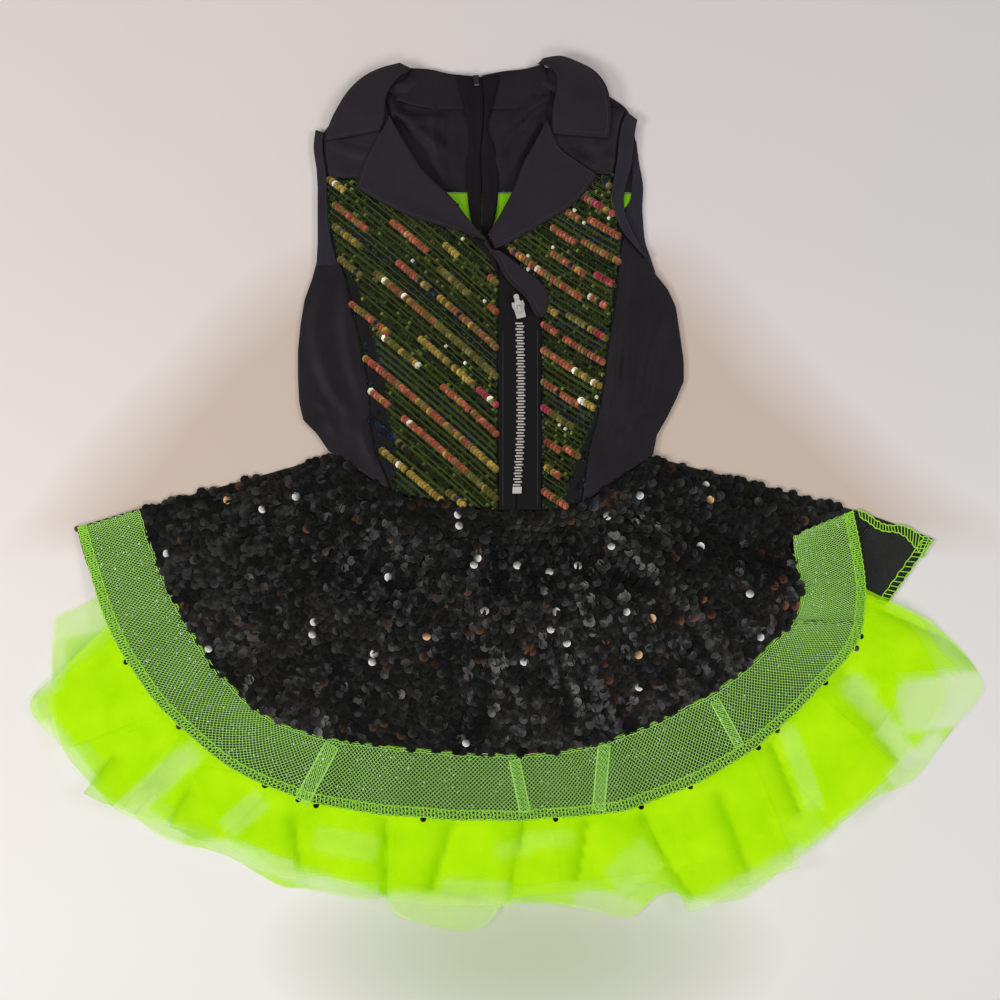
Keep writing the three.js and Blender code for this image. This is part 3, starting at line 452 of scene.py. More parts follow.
BLACK_THREAD = thread_look("black_thread", srgb(34, 31, 36), srgb(62, 58, 64))
LIME_THREAD = thread_look("overlock_thread", srgb(130, 205, 30), srgb(190, 250, 85))
HORSEHAIR = thread_look("horsehair", srgb(132, 216, 66), srgb(200, 252, 128), 0.4, 0.5)


def tape_look():
    look = Look("zip_tape")
    x, y, _ = look.split(look.place())
    zigzag = look.wave(x * (TURN / (2.4 * MM)))
    herring = look.wave(y * (TURN / (1.1 * MM)) + zigzag * 1.6)
    grain = look.noise(2.5)
    worn = herring * 0.2 + grain * 0.6 + 0.1
    shade = look.colours(worn, (0.2, srgb(11, 10, 11)), (0.85, srgb(25, 23, 24)))
    look.set(Base_Color=shade, Roughness=0.8 + (grain - 0.5) * 0.15, Specular_IOR_Level=0.2)
    return look.bump(herring * 0.4 + grain, 0.12, 0.7).material


def metal_look(name, colour, rough, metal=1.0):
    look = Look(name)
    scratch = look.noise(0.9, detail=6, rough=0.7)
    dull = look.noise(5)
    darker = tuple(0.8 * channel for channel in colour)
    look.set(Base_Color=look.colours(dull, (0.3, colour), (0.8, darker)))
    look.set(Metallic=metal, Roughness=(rough + (scratch - 0.5) * 0.2).clamp())
    return look.bump(scratch, 0.03, 0.4).material


def net_cloth_look(name, dark, light, size):
    look = Look(name)
    mesh = look.cells(size)
    worn = look.noise(20)
    look.set(Base_Color=look.colours(mesh * 0.6 + worn * 0.5, (0.15, dark), (0.8, light)))
    look.set(Roughness=0.7, Specular_IOR_Level=0.25)
    return look.bump(mesh, 0.3, 0.8).material


def tinted_look(name, rough, metal, coat, deep=0.05, specular=0.5):
    """Sequins and threads in the colour of each one's own tint."""
    look = Look(name)
    smear = look.noise(2.2, detail=2)
    smudged = look.colours(smear, (0.3, (0.35, 0.35, 0.35)), (0.7, (1, 1, 1)))
    look.set(Base_Color=look.blend(0.35, look.tint(), smudged, "MULTIPLY"), Metallic=metal)
    look.set(Roughness=(rough + (smear - 0.5) * 0.16).clamp())
    look.set(Coat_Weight=coat, Coat_Roughness=0.08, Specular_IOR_Level=specular)
    return look.bump(smear, deep, 0.4).material


def tulle_look():
    """Soft lime net: its tint says how close its threads lie, how pale it is and how much painted
    shade lies beside its folds.
    """
    look = Look("lime_tulle")
    close, pale, deep = look.split(look.tint())
    soft = look.noise(26, detail=2)
    shade = look.colours(soft, (0.25, srgb(172, 232, 0)), (0.75, srgb(190, 238, 14)))
    shade = look.blend(pale, shade, srgb(206, 240, 142))
    # Darker green beside the net's folds: painted shade.
    shade = look.blend(deep * 0.75, shade, srgb(122, 190, 0))
    cover = (0.34 + (soft - 0.5) * 0.3) * close
    # Half the net's colour goes into a glow that no lamp gives: partly its fluorescent dye, partly
    # painted light for the light that passes through its layers.
    look.set(Base_Color=look.blend(0.5, shade, (0.0, 0.0, 0.0)), Roughness=0.85)
    look.set(Emission_Color=shade, Emission_Strength=0.6)
    look.set(Alpha=cover.clamp(), Specular_IOR_Level=0.05)
    # The net's faint glow isn't sampled as a lamp's is, which nearly halves the render's time.
    look.material.cycles.emission_sampling = "NONE"
    return look.material


ZIP_TAPE = tape_look()
NICKEL = metal_look("zip_nickel", (0.86, 0.83, 0.78), 0.28, 0.55)
BLACK_METAL = metal_look("back_zip_metal", (0.05, 0.05, 0.055), 0.35)
STRIPE_GROUND = tinted_look("striped_sequin_ground", 0.75, 0.0, 0.0, 0.3, 0.2)
SKIRT_GROUND = net_cloth_look("black_sequin_ground", srgb(14, 13, 14), srgb(34, 33, 34), 2.4)
WRONG_SIDE = net_cloth_look("wrong_side_of_the_skirt", srgb(19, 21, 19), srgb(38, 40, 37), 1.3)
BAND_GROUND = net_cloth_look("horsehair_ground", srgb(12, 20, 11), srgb(36, 58, 28), 1.6)
STRIPE_SEQUIN = tinted_look("striped_sequin", 0.34, 0.25, 0.02, 0.05, 0.15)
STRIPE_THREAD = tinted_look("striped_sequin_thread", 0.6, 0.0, 0.0, 0.05, 0.2)
PAILLETTE = tinted_look("black_paillette", 0.3, 0.0, 0.0, 0.03, 0.2)
GLITTER = tinted_look("glitter", 0.3, 0.2, 0.2)
TULLE = tulle_look()


# Cut edges of the flat pieces: one row for each section, from edge a to edge b

EDGES = tables("aX aY bX bY", {
    "front_yoke_left": [
        (-128, 282, -91, 290), (-136, 268, -88, 277), (-137, 256, -81, 264),
        (-135.5, 245, -72, 250), (-134, 233.4, -61, 233.4),
    ],
    "front_yoke_right": [
        (38, 292, 87.5, 284), (34, 278, 84, 272), (27, 264, 82, 260), (20, 250, 81, 248),
        (13, 236.4, 78.5, 236.4),
    ],
    "armhole_binding_left": [
        (-143.5, 270, -137.3, 268), (-145, 257, -138, 256), (-143.5, 245, -136.4, 245),
        (-142, 234, -134.8, 233.2), (-142, 218, -134.4, 217), (-142, 200, -133.4, 200),
        (-142, 185, -131.4, 186.2), (-142.7, 172, -128.5, 175.8), (-142.5, 168, -126.5, 169),
    ],
    "armhole_binding_right": [
        (89, 283, 97, 277), (85, 273, 95, 266), (83, 262, 94, 252), (82, 249, 92, 240),
        (80, 237, 88.5, 228), (77.5, 223, 87, 215), (79.5, 210, 89, 204), (83.5, 199, 93, 195),
        (88.4, 190.6, 97.5, 186), (95.6, 182.6, 101, 181), (103, 174.2, 106, 174.4),
    ],
    "lapel_left": [
        (-88, 280, -94, 267.6), (-82, 269, -101, 256), (-74, 256, -108, 241),
        (-64, 240, -113.5, 226), (-54, 230, -91, 213), (-42, 219, -70, 203.5),
        (-31, 205, -48, 197), (-22, 194, -30, 191.5), (-15.5, 188, -18, 186.6),
    ],
    "lapel_right": [
        (30, 277, 34, 264.6), (25, 268, 39, 254.5), (19, 257, 51, 246), (13, 247, 67, 235.5),
        (9, 237, 58, 222), (5, 226, 46, 211), (0, 216, 32, 202.5), (-6, 205, 16, 193),
        (-11, 197, 3, 185.5), (-14.5, 191, -9, 180.4),
    ],
    "lapel_tab": [
        (-18, 185.8, -14.4, 185.6), (-13.5, 180, -10.6, 179.8), (-10.5, 176, -5, 178.6),
        (-7.1, 170.6, 4.8, 171.5), (-3.4, 162.4, 15.2, 163.5), (2.6, 154.9, 24.2, 156.5),
        (10, 148.2, 29.4, 149), (16, 140.8, 30.9, 141.5), (19.7, 133.3, 29.4, 133.8),
        (23.4, 129.6, 26.4, 129.6),
    ],
    "collar_left": [
        (-95, 268.5, -137, 261), (-91.5, 278, -133, 273), (-91, 288, -127, 285),
        (-89, 297, -119, 297.5), (-84, 304.5, -108, 308), (-78, 310, -95, 314.5),
        (-70, 314, -80, 318.5),
    ],
    "collar_right": [
        (34, 266.2, 76, 262.5), (33.4, 277, 77.5, 276), (34, 287, 76.5, 289),
        (36, 297, 73.5, 301.5), (37, 306, 65, 312.5), (34.5, 312.5, 52, 319.5),
        (28, 316.5, 39, 323.5), (22, 317.5, 26, 321.5),
    ],
    "back_yoke_left": [
        (-95, 303, -20.6, 297), (-120, 287, -20.6, 285), (-138, 268, -20.6, 270),
        (-143, 250, -20.6, 250), (-142, 224, -20.6, 224),
    ],
    "back_yoke_right": [
        (-20.2, 297, 60, 304), (-20.2, 285, 88, 287), (-20.2, 270, 95, 268), (-20.2, 250, 97, 250),
        (-20.2, 224, 101, 224),
    ],
    "back_facing_left": [
        (-39, 311, -19, 309), (-34, 292, -18, 291), (-29, 272, -18.4, 272), (-28.5, 258, -20, 258),
        (-31, 243, -20, 243), (-30, 222, -19.5, 222), (-28, 206, -19.5, 206),
        (-23, 186, -19.5, 186),
    ],
    "stand_corner_left": [(-97, 311, -66, 316), (-94, 303, -62, 308), (-92, 293, -60, 296)],
    "stand_corner_right": [(20, 316, 44, 318), (18, 306, 46, 308), (16, 294, 46, 296)],
    "back_armhole_facing": [
        (90, 262, 96.5, 262), (92, 248, 98.5, 246), (93, 231, 101.5, 229), (91.5, 217, 101, 213),
        (83, 205, 101.5, 202), (82, 195, 103, 187), (90, 184, 107, 175), (101, 170, 111, 163),
    ],
    "left_armhole_facing": [
        (-141, 196, -126, 196), (-139, 183, -121, 183), (-137, 172, -117, 170),
        (-132, 164, -114, 160),
    ],
    "facing_corner": [
        (-31, 190.5, -17.5, 187), (-22.5, 183, -11.5, 180), (-14.5, 174, -8.2, 173),
        (-9.2, 164, -6.8, 163),
    ],
    "front_facing": [
        (-20, 187, 2, 191), (-14, 178, 10, 180), (-9, 168, 14, 168), (-6, 152, 22, 152),
        (-4, 130, 24, 130), (0, 112, 20, 112),
    ],
    "back_facing_right": [
        (-18.6, 309, -6, 311), (-17.6, 291, -10, 292), (-18, 272, -15, 272),
        (-19.6, 258, -10, 258), (-19.6, 243, -7, 244), (-19.1, 222, -7, 222),
        (-19.1, 206, -9, 206), (-19.1, 186, -15, 186),
    ],
})
CORNERS = {"lapel_left": (3,), "lapel_right": (3,), "collar_left": (0,), "collar_right": (0,)}

# Ridges and troughs that the photograph shows: from a point to a point, half width and height
CREASES = {
    "front_yoke_left": [
        (-134, 262, -100, 250, 5, 1.8), (-128, 250, -84, 244, 4, -1.2),
        (-130, 240, -96, 236, 4, 1.4),
    ],
    "front_yoke_right": [
        (40, 262, 66, 240, 4, 1.6), (48, 256, 84, 254, 4, -1.2), (60, 262, 80, 246, 5, 1.6),
    ],
    "side_panel_left": [
        (-152, 56, -122, 60, 5, -2.4), (-120, 150, -108, 70, 5, 2.0),
        (-142, 120, -112, 40, 7, 2.4), (-150, 90, -118, 52, 5, -1.8), (-108, 50, -98, 20, 4, 2.0),
        (-130, 46, -106, 14, 4, -1.6), (-132, 160, -146, 110, 6, 1.6),
        (-140, 76, -120, 30, 4, 1.6),
    ],
    "side_panel_right": [
        (88, 170, 84, 60, 5, 2.6), (104, 160, 96, 70, 6, -2.2), (116, 130, 100, 50, 6, 2.6),
        (78, 110, 72, 40, 4, -1.8), (96, 66, 84, 30, 4, 2.2), (104, 60, 78, 44, 4, -1.6),
        (122, 110, 112, 60, 5, -1.6), (90, 120, 76, 20, 4, 1.8),
    ],
    "back_yoke_left": [
        (-92, 298, -58, 262, 4, 4.2), (-80, 292, -66, 240, 4, -2.0), (-54, 290, -46, 230, 4, 3.6),
        (-92, 284, -50, 278, 3.5, 2.2), (-70, 280, -40, 250, 4, 2.0), (-38, 284, -34, 226, 4, 1.8),
    ],
    "back_yoke_right": [
        (36, 298, 2, 268, 3.5, 4.0), (30, 290, -4, 252, 4, -2.0), (22, 300, 8, 276, 3.5, 2.6),
        (6, 286, -6, 236, 3.5, 3.2), (26, 282, 4, 240, 3.5, 3.0),
    ],
    "back_facing_left": [(-30, 300, -24, 250, 2.5, 1.6), (-26, 250, -28, 200, 2.5, 1.2)],
    "back_facing_right": [(-12, 300, -16, 262, 2, 1.4), (-14, 258, -10, 210, 2.5, 1.4)],
    "stand_corner_left": [(-92, 302, -64, 306, 3, 2.4), (-88, 310, -72, 296, 3, 1.8)],
    "stand_corner_right": [(24, 306, 42, 300, 3, 2.4)],
    "collar_left": [(-130, 268, -108, 266, 4, -0.5), (-124, 292, -98, 276, 8, 1.2)],
    "collar_right": [(40, 300, 70, 282, 8, 1.0), (36, 274, 70, 268, 4, -0.4)],
    "lapel_left": [(-84, 258, -40, 212, 9, 1.0), (-104, 236, -80, 220, 6, -0.4)],
    "lapel_right": [(24, 256, -6, 204, 7, 1.0), (58, 234, 30, 214, 6, -0.4)],
}


def strip_surface(name, low, u, v, soft=0.25, roll=0.0, edge_lift=0.0):
    """Points on the underside of a flat cut piece, with its creases and a little unevenness."""
    at = {key: follow(values, v, CORNERS.get(name, ())) for key, values in EDGES[name].items()}
    x, y = mix(at["aX"], at["bX"], u), mix(at["aY"], at["bY"], u)
    rim = np.minimum(np.minimum(u, 1 - u), np.minimum(v, 1 - v))
    uneven = soft * (1 + ripples(x, y, 26, len(name)))
    lift = np.maximum(0, creases(x, y, CREASES.get(name, [])) + uneven)
    rolled = roll * np.exp(-((u / 0.16) ** 2)) + edge_lift * ease(u, 0.5, 1) * ease(v, 0, 0.3)
    return x, y, low(x, y) + lift * ease(rim, -0.05, 0.14) + rolled


def strip_piece(name, slot, look, low, thick, across=14, along=30, node=True, **form):
    """A flat cut piece on what lies under it."""
    u, v = np.meshgrid(spaced(across), spaced(along))
    grid = strip_surface(name, low, u, v, **form)
    lay_sheet(name, *grid, thick, look, slot, [name] if node else [])


def yoke_low(x, y):
    return back_top(y) - CLOTH


def facing_low(x, y):
    return front_low(x, y) - 1.0


def on_back(x, y):
    return back_top(y)


def stand_corner_low(x, y):
    return 0 * x + 1.8


COLLAR_FORM = {"roll": 0.8, "edge_lift": 1.4, "soft": 0.2}
LAPEL_FORM = {"roll": 1.6, "edge_lift": 1.2, "soft": 0.2}
TAB_FORM = {"soft": 0.1}
SIDES = "left", "right"


def strip_pair(name, *cut, **form):
    for side in SIDES:
        strip_piece(name + "_" + side, *cut, **form)


strip_pair("back_yoke", "black_lycra", SHADED_KNIT, yoke_low, CLOTH, 34, 34)
strip_pair("stand_corner", "lapel_cloth", CREPE, stand_corner_low, CLOTH, 8, 12, False)
strip_pair("back_facing", "zip_facing", FACING_CLOTH, over_back, FACING, 8, 50)
for name, low, thick, across, along in (
    ("back_armhole_facing", on_back, FACING, 6, 40),
    ("left_armhole_facing", facing_low, THIN_FACING, 8, 20),
):
    strip_piece(name, "armhole_binding", BINDING_KNIT, low, thick, across, along, False)
strip_piece("front_facing", "zip_facing", FACING_CLOTH, facing_low, THIN_FACING, 8, 40, False)
strip_pair("front_yoke", "black_lycra", BLACK_KNIT, front_low, CLOTH, 24, 24)
for side, along in zip(SIDES, (60, 70)):
    name = "armhole_binding_" + side
    strip_piece(name, "armhole_binding", BINDING_KNIT, front_low, BINDING, 6, along)
strip_piece("facing_corner", "zip_facing", FACING_CLOTH, over_front, THIN_FACING, 8, 24, False)
strip_piece("lapel_tab", "lapel_cloth", CREPE, over_front, LAPEL, 14, 40, **TAB_FORM)
strip_pair("lapel", "lapel_cloth", CREPE, over_front, LAPEL, 24, 60, **LAPEL_FORM)
strip_pair("collar", "lapel_cloth", CREPE, over_front, LAPEL, 20, 44, **COLLAR_FORM)


# Front and side panels: one row for each section from the top to the waist

LEFT = table(
    "seamX seamY centreX centreY",
    (-134, 233, -61, 233), (-134, 217, -42, 219), (-133, 200, -28, 201), (-131, 186, -15, 186),
    (-127, 175, -8, 173), (-121, 160, -7, 158), (-117, 142, -7, 142), (-113, 124, -7, 124),
    (-109, 105, -7, 105), (-105, 85, -7, 85), (-103, 64, -7, 64), (-102, 46, -7, 43),
    (-97, 26, -7, 18), (-86, -1, -7, -15),
)
RIGHT = table(
    "seamX seamY centreX centreY",
    (78, 236, 13, 236), (76.5, 222, 5, 222), (78, 209, -3, 208), (82, 198, -9, 197),
    (87, 190, -6, 187), (84, 174, 6, 173), (81.5, 157, 26, 156), (79.5, 140, 26, 140),
    (76.5, 120, 26, 120), (74, 99, 26, 99), (72, 81, 26, 81), (69.5, 65, 26, 64), (66, 49, 26, 46),
    (61, 31, 26, 25), (55, -10, 26, -15),
)
UNDERARM = 4
LEFT_SIDE = table(
    "outerX outerY backY",
    (-143, 171, 171), (-146.5, 158, 157), (-152, 143, 141), (-155, 125, 123), (-157, 105, 102),
    (-157, 85, 81), (-156, 66, 61), (-153, 53, 46), (-143, 43, 35), (-134, 30, 21.8),
)
RIGHT_SIDE = table(
    "outerX outerY backY",
    (103, 172, 172), (111, 162, 161), (120, 151, 150), (126, 138, 136), (129, 118, 115),
    (132, 97, 94), (132, 82, 78), (126, 68, 63), (119, 54, 49), (112, 42, 36), (109, 27, 21.6),
)
WRAP_UNDER = 24


def side_rows(panel, side, outward):
    rows = {key: values[UNDERARM:] for key, values in panel.items()}
    rows.update(side)
    rows["seamX"] = rows["seamX"] + outward * SEAM
    rows["backX"] = rows["outerX"] - outward * WRAP_UNDER
    return rows


def linear(values, t):
    return np.interp(np.clip(t, 0, 1) * (len(values) - 1), np.arange(len(values)), values)


def wrapped_piece(name, rows, low, slot, top=26, along=54, curve=linear, soft=0.2):
    """Cloth that runs out from a seam to a fold, round it and back underneath."""
    turn, under = 8, 6
    half = CLOTH / 2
    v = spaced(along, 0.004)[:, None]
    at = {key: curve(values, v) for key, values in rows.items()}
    outward = np.stack([at["outerX"] - at["seamX"], at["outerY"] - at["seamY"]])
    outward = outward / np.hypot(*outward)
    radius = low(at["outerX"], at["outerY"]) / 2
    fold = np.stack([at["outerX"], at["outerY"]]) - outward * (radius + half)
    middles, normals = [], []
    for f in spaced(top, 0.01):
        point = np.stack([at["seamX"], at["seamY"]]) * (1 - f) + fold * f
        height = mix(low(*point), 2 * radius, ease(f, 0, 1)) + half
        lift = creases(*point, CREASES.get(name, [])) + soft * (1 + ripples(*point, 30, len(name)))
        across_fade = ease(f, 0, 0.1) * (1 - ease(f, 0.75, 1))
        along_fade = ease(v, 0, 0.06) * (1 - ease(v, 0.94, 1))
        height = height + np.maximum(lift, 0) * across_fade * along_fade
        middles.append(np.stack([*point, height]))
        normals.append(np.stack([0 * height, 0 * height, 1 + 0 * height]))
    for step in range(1, turn + 1):
        angle = math.pi * (0.5 - step / turn)
        point = fold + outward * radius * math.cos(angle)
        middles.append(np.stack([*point, half + radius + radius * math.sin(angle)]))
        normals.append(np.stack([*(outward * math.cos(angle)), 0 * radius + math.sin(angle)]))
    for f in np.append(np.linspace(0, 0.97, under)[1:], 1):
        point = fold * (1 - f) + np.stack([at["backX"], at["backY"]]) * f
        middles.append(np.stack([*point, half + 0 * radius]))
        normals.append(np.stack([0 * radius, 0 * radius, -1 + 0 * radius]))
    middle = np.concatenate(middles, axis=2)
    normal = np.concatenate(normals, axis=2)
    reach = np.where(edge_of(middle.shape[1:]), 0, half)
    outer, inner = ((middle + way * normal * reach).transpose(1, 2, 0) for way in (1, -1))
    outward_first = float(np.mean(outward[0])) >= -0.5
    piece = thin_wall(name, outer, inner, outward_first, SHADED_KNIT)
    settle(piece, slot, [name], tuple(middle), held="folded")


wrapped_piece("side_panel_left", side_rows(LEFT, LEFT_SIDE, -1), front_low, "black_lycra")
wrapped_piece("side_panel_right", side_rows(RIGHT, RIGHT_SIDE, 1), front_low, "black_lycra")

STAND_LEFT = table(
    "seamX seamY outerX outerY backX backY",
    (-84, 292, -72, 316.5, -84, 290), (-66, 287, -58, 315.5, -64, 286),
    (-45, 285, -44, 312.5, -45, 283), (-21.5, 286, -21.5, 309, -21.5, 283),
)
STAND_RIGHT = table(
    "seamX seamY outerX outerY backX backY",
    (-19.3, 286, -19, 311, -19.3, 283), (-3, 285, -4, 314, -3, 283), (16, 287, 13, 316, 16, 285),
    (34, 294, 27, 320, 34, 291),
)


def stand_low(x, y):
    return back_top(y) + LAYER


STAND_FORM = {"top": 12, "along": 36, "curve": follow, "soft": 0.1}
wrapped_piece("collar_stand_left", STAND_LEFT, stand_low, "lapel_cloth", **STAND_FORM)
wrapped_piece("collar_stand_right", STAND_RIGHT, stand_low, "lapel_cloth", **STAND_FORM)


def back_panel(name, rows, outward, armhole_x):
    centre = -20.4 + outward * SEAM
    top, underarm = 223.6, rows["backY"][0]
    edge_x = np.concatenate([[armhole_x] * 3, rows["backX"] - outward * SEAM])
    edge_y = np.concatenate([[top, (top + underarm) / 2, underarm + 2], rows["backY"] + SEAM])
    u, v = np.meshgrid(spaced(24), spaced(60, 0.004))
    x = mix(linear(edge_x, v), centre, u)
    y = linear(edge_y, v)
    y = y + (back_waist(x) + SEAM - edge_y[-1]) * ease(v, 0.8, 1)
    lay_sheet(name, x, y, 0 * x, CLOTH, LIME_KNIT, "lime_lining", [name])


back_panel("back_panel_left", side_rows(LEFT, LEFT_SIDE, -1), -1, -141)
back_panel("back_panel_right", side_rows(RIGHT, RIGHT_SIDE, 1), 1, 100)


# The front panels are green up to this line, and black between it and the side seam.
LEFT_GREEN = table(
    "y x",
    (0, -86), (25, -84), (64, -90), (87, -94), (120, -101), (155, -113), (173, -126), (203, -133),
    (236, -135),
)
RIGHT_GREEN = table(
    "y x",
    (0, 44), (25, 53), (57, 66), (80, 70), (118, 76), (150, 80), (182, 85), (205, 80), (240, 80),
)


def left_green(x, y):
    return x > np.interp(y, LEFT_GREEN["y"], LEFT_GREEN["x"])


def right_green(x, y):
    return x < np.interp(y, RIGHT_GREEN["y"], RIGHT_GREEN["x"])


GROUND_GREEN, GROUND_BLACK = (0.009, 0.02, 0.004), (0.006, 0.005, 0.006)


def tinted(piece, colours, stride=1, shade=1.0):
    """Gives each small thing in a mesh its own colour, with painted shade from point to point."""
    attribute = piece.data.color_attributes.new("tint", "FLOAT_COLOR", "POINT")
    values = np.repeat(colours, stride, axis=0) * shade
    values = np.concatenate([values, np.ones((len(values), 1))], axis=1)
    attribute.data.foreach_set("color", values.astype(np.float32).ravel())


def plan_of(piece):
    """Where a mesh's points lie in the plan."""
    points = np.zeros(len(piece.data.vertices) * 3)
    piece.data.vertices.foreach_get("co", points)
    points = points.reshape(-1, 3) / MM
    return points[:, 0], points[:, 1]


def front_panel(name, rows, green):
    u, v = np.meshgrid(spaced(30), spaced(80, 0.004))
    at = {key: linear(values, v) for key, values in rows.items()}
    x, y = mix(at["seamX"], at["centreX"], u), mix(at["seamY"], at["centreY"], u)
    piece = lay_sheet(name, x, y, front_low(x, y), CLOTH, STRIPE_GROUND, "striped_sequins", [name])
    inner = green(*plan_of(piece))[:, None]
    tinted(piece, np.where(inner, GROUND_GREEN, GROUND_BLACK))


front_panel("front_panel_left", LEFT, left_green)
front_panel("front_panel_right", RIGHT, right_green)


# Small things in great number, joined in one mesh

def ribbons(paths, wide, thick):
    """Flat threads, each a closed strip along its own path of points with the same count."""
    paths = np.asarray(paths)
    count, steps, _ = paths.shape
    run = np.gradient(paths, axis=1)
    side = np.stack([-run[..., 1], run[..., 0], 0 * run[..., 0]], -1)
    side /= np.linalg.norm(side, axis=2, keepdims=True) + 1e-9
    up = np.array([0, 0, thick])
    half = side * wide / 2
    crown = half * 0.6
    ring = np.stack([paths - half, paths - crown + up, paths + crown + up, paths + half], axis=2)
    index = np.arange(count * steps * 4).reshape(count, steps, 4)
    here, there = index[:, :-1], index[:, 1:]
    faces = []
    for a in range(4):
        b = (a + 1) % 4
        wall = here[..., a], there[..., a], there[..., b], here[..., b]
        faces.append(np.stack(wall, -1).reshape(-1, 4))
    faces.append(index[:, 0, :].reshape(-1, 4))
    faces.append(index[:, -1, ::-1].reshape(-1, 4))
    return ring.reshape(-1, 3), np.concatenate(faces)


def threads(name, paths, wide, thick, look, slot, tints=None):
    points, faces = ribbons(paths, wide, thick)
    piece = make_piece(name, points, faces, look)
    if tints is not None:
        tinted(piece, tints, len(points) // len(paths))
    settle(piece, slot)


def repeated(faces, count, stride):
    """The faces of one small thing, once for each of them."""
    return (faces[None] + np.arange(count)[:, None, None] * stride).reshape(-1, faces.shape[1])


def small_discs(centres, normals, spins, radii, thick, sides, cup=0.12):
    """Round sequins: each a closed disc, a little cupped, on its own centre and normal."""
    count = len(centres)
    normals = normals / np.linalg.norm(normals, axis=1, keepdims=True)
    first = np.cross(normals, np.where(np.abs(normals[:, :1]) > 0.9, [[0, 1, 0]], [[1, 0, 0]]))
    first /= np.linalg.norm(first, axis=1, keepdims=True)
    second = np.cross(normals, first)
    angles = (spins[:, None] + np.arange(sides) * TURN / sides)[..., None]
    around = first[:, None] * np.cos(angles) + second[:, None] * np.sin(angles)
    rim = centres[:, None] + around * radii[:, None, None]
    up = normals[:, None] * thick
    dish = (centres - normals * (cup * radii)[:, None])[:, None]
    ring = np.concatenate([rim + up, rim, dish + up, dish], axis=1)
    step = np.arange(sides)
    after = (step + 1) % sides
    top, bottom = 2 * sides, 2 * sides + 1
    cap = np.stack([step, after, np.full(sides, top)], 1)
    base = np.stack([after + sides, step + sides, np.full(sides, bottom)], 1)
    wall_a = np.stack([step, step + sides, after + sides], 1)
    wall_b = np.stack([step, after + sides, after], 1)
    stride = 2 * sides + 2
    faces = repeated(np.concatenate([cap, base, wall_a, wall_b]), count, stride)
    return ring.reshape(-1, 3), faces, stride


def slopes(surface, x, y, step=1.0):
    """Normals of a height over the plan."""
    dx = (surface(x + step, y) - surface(x - step, y)) / (2 * step)
    dy = (surface(x, y + step) - surface(x, y - step)) / (2 * step)
    return np.stack([-dx, -dy, np.ones_like(dx)], 1)


def towards(points, centres, stride, way, radii):
    """How far each point of a disc lies towards one side of it, from -1 to 1."""
    reach = points.reshape(len(centres), stride, 3)[..., :2] - centres[:, None, :2]
    return ((reach * way[:, None]).sum(-1) / radii[:, None]).ravel()[:, None]


def inside(x, y, outline):
    """Which points lie inside a closed outline of plan points."""
    hit = np.zeros(len(x), bool)
    ox, oy = np.asarray(outline).T
    for i in range(len(ox)):
        j = i - 1
        crosses = (oy[i] > y) != (oy[j] > y)
        with np.errstate(divide="ignore", invalid="ignore"):
            at = (ox[j] - ox[i]) * (y - oy[i]) / (oy[j] - oy[i]) + ox[i]
        hit ^= crosses & (x < at)
    return hit


# Colours of the small sequins and of the thread between their rows
CORAL, COPPER = (0.42, 0.11, 0.055), (0.30, 0.11, 0.04)
GOLD, OLIVE = (0.46, 0.30, 0.06), (0.17, 0.14, 0.035)
PINK, NAVY = (0.45, 0.06, 0.09), (0.012, 0.018, 0.04)
# The white is a painted glint.
PAINTED_GLINT_WHITE, LEAF = (1.0, 0.95, 0.75), (0.022, 0.04, 0.008)
DARK_LEAF, BRIGHT_LEAF = (0.006, 0.012, 0.004), (0.11, 0.15, 0.025)
ROW_THREAD = (0.085, 0.12, 0.015)

# Stripes of coloured sequins: from a point to a point along a row, in the frame's millimetres
LEFT_STRIPES = [
    (-133, 231, -122, 224, GOLD), (-112, 236, -108, 233, COPPER), (-129, 211, -106, 195, CORAL),
    (-129, 193, -110, 182, OLIVE), (-85, 193, -61, 182, CORAL), (-47, 182, -38, 175, GOLD),
    (-124, 173, -110, 159, OLIVE), (-81, 168, -67, 157, CORAL), (-98, 162, -85, 150, OLIVE),
    (-65, 155, -51, 146, NAVY), (-50, 162, -29, 149, OLIVE), (-12, 159, -7, 153, CORAL),
    (-88, 155, -50, 119, COPPER), (-119, 144, -90, 115, CORAL), (-50, 139, -29, 127, GOLD),
    (-13, 137, -7, 130, CORAL), (-53, 120, -7, 88, OLIVE), (-41, 136, -8, 110, COPPER),
    (-96, 120, -67, 94, OLIVE), (-64, 109, -43, 95, GOLD), (-41, 94, -26, 79, GOLD),
    (-22, 76, -7, 60, PINK), (-49, 79, -29, 60, CORAL), (-26, 56, -7, 41, CORAL),
    (-107, 103, -26, 28, CORAL), (-26, 28, -8, 18, GOLD), (-101, 76, -90, 64, CORAL),
    (-78, 54, -29, 10, CORAL), (-29, 10, -9, -6, OLIVE), (-103, 51, -74, 33, NAVY),
    (-94, 29, -76, 18, GOLD), (-74, 10, -45, -10, GOLD), (-45, -2, -26, -15, GOLD),
]
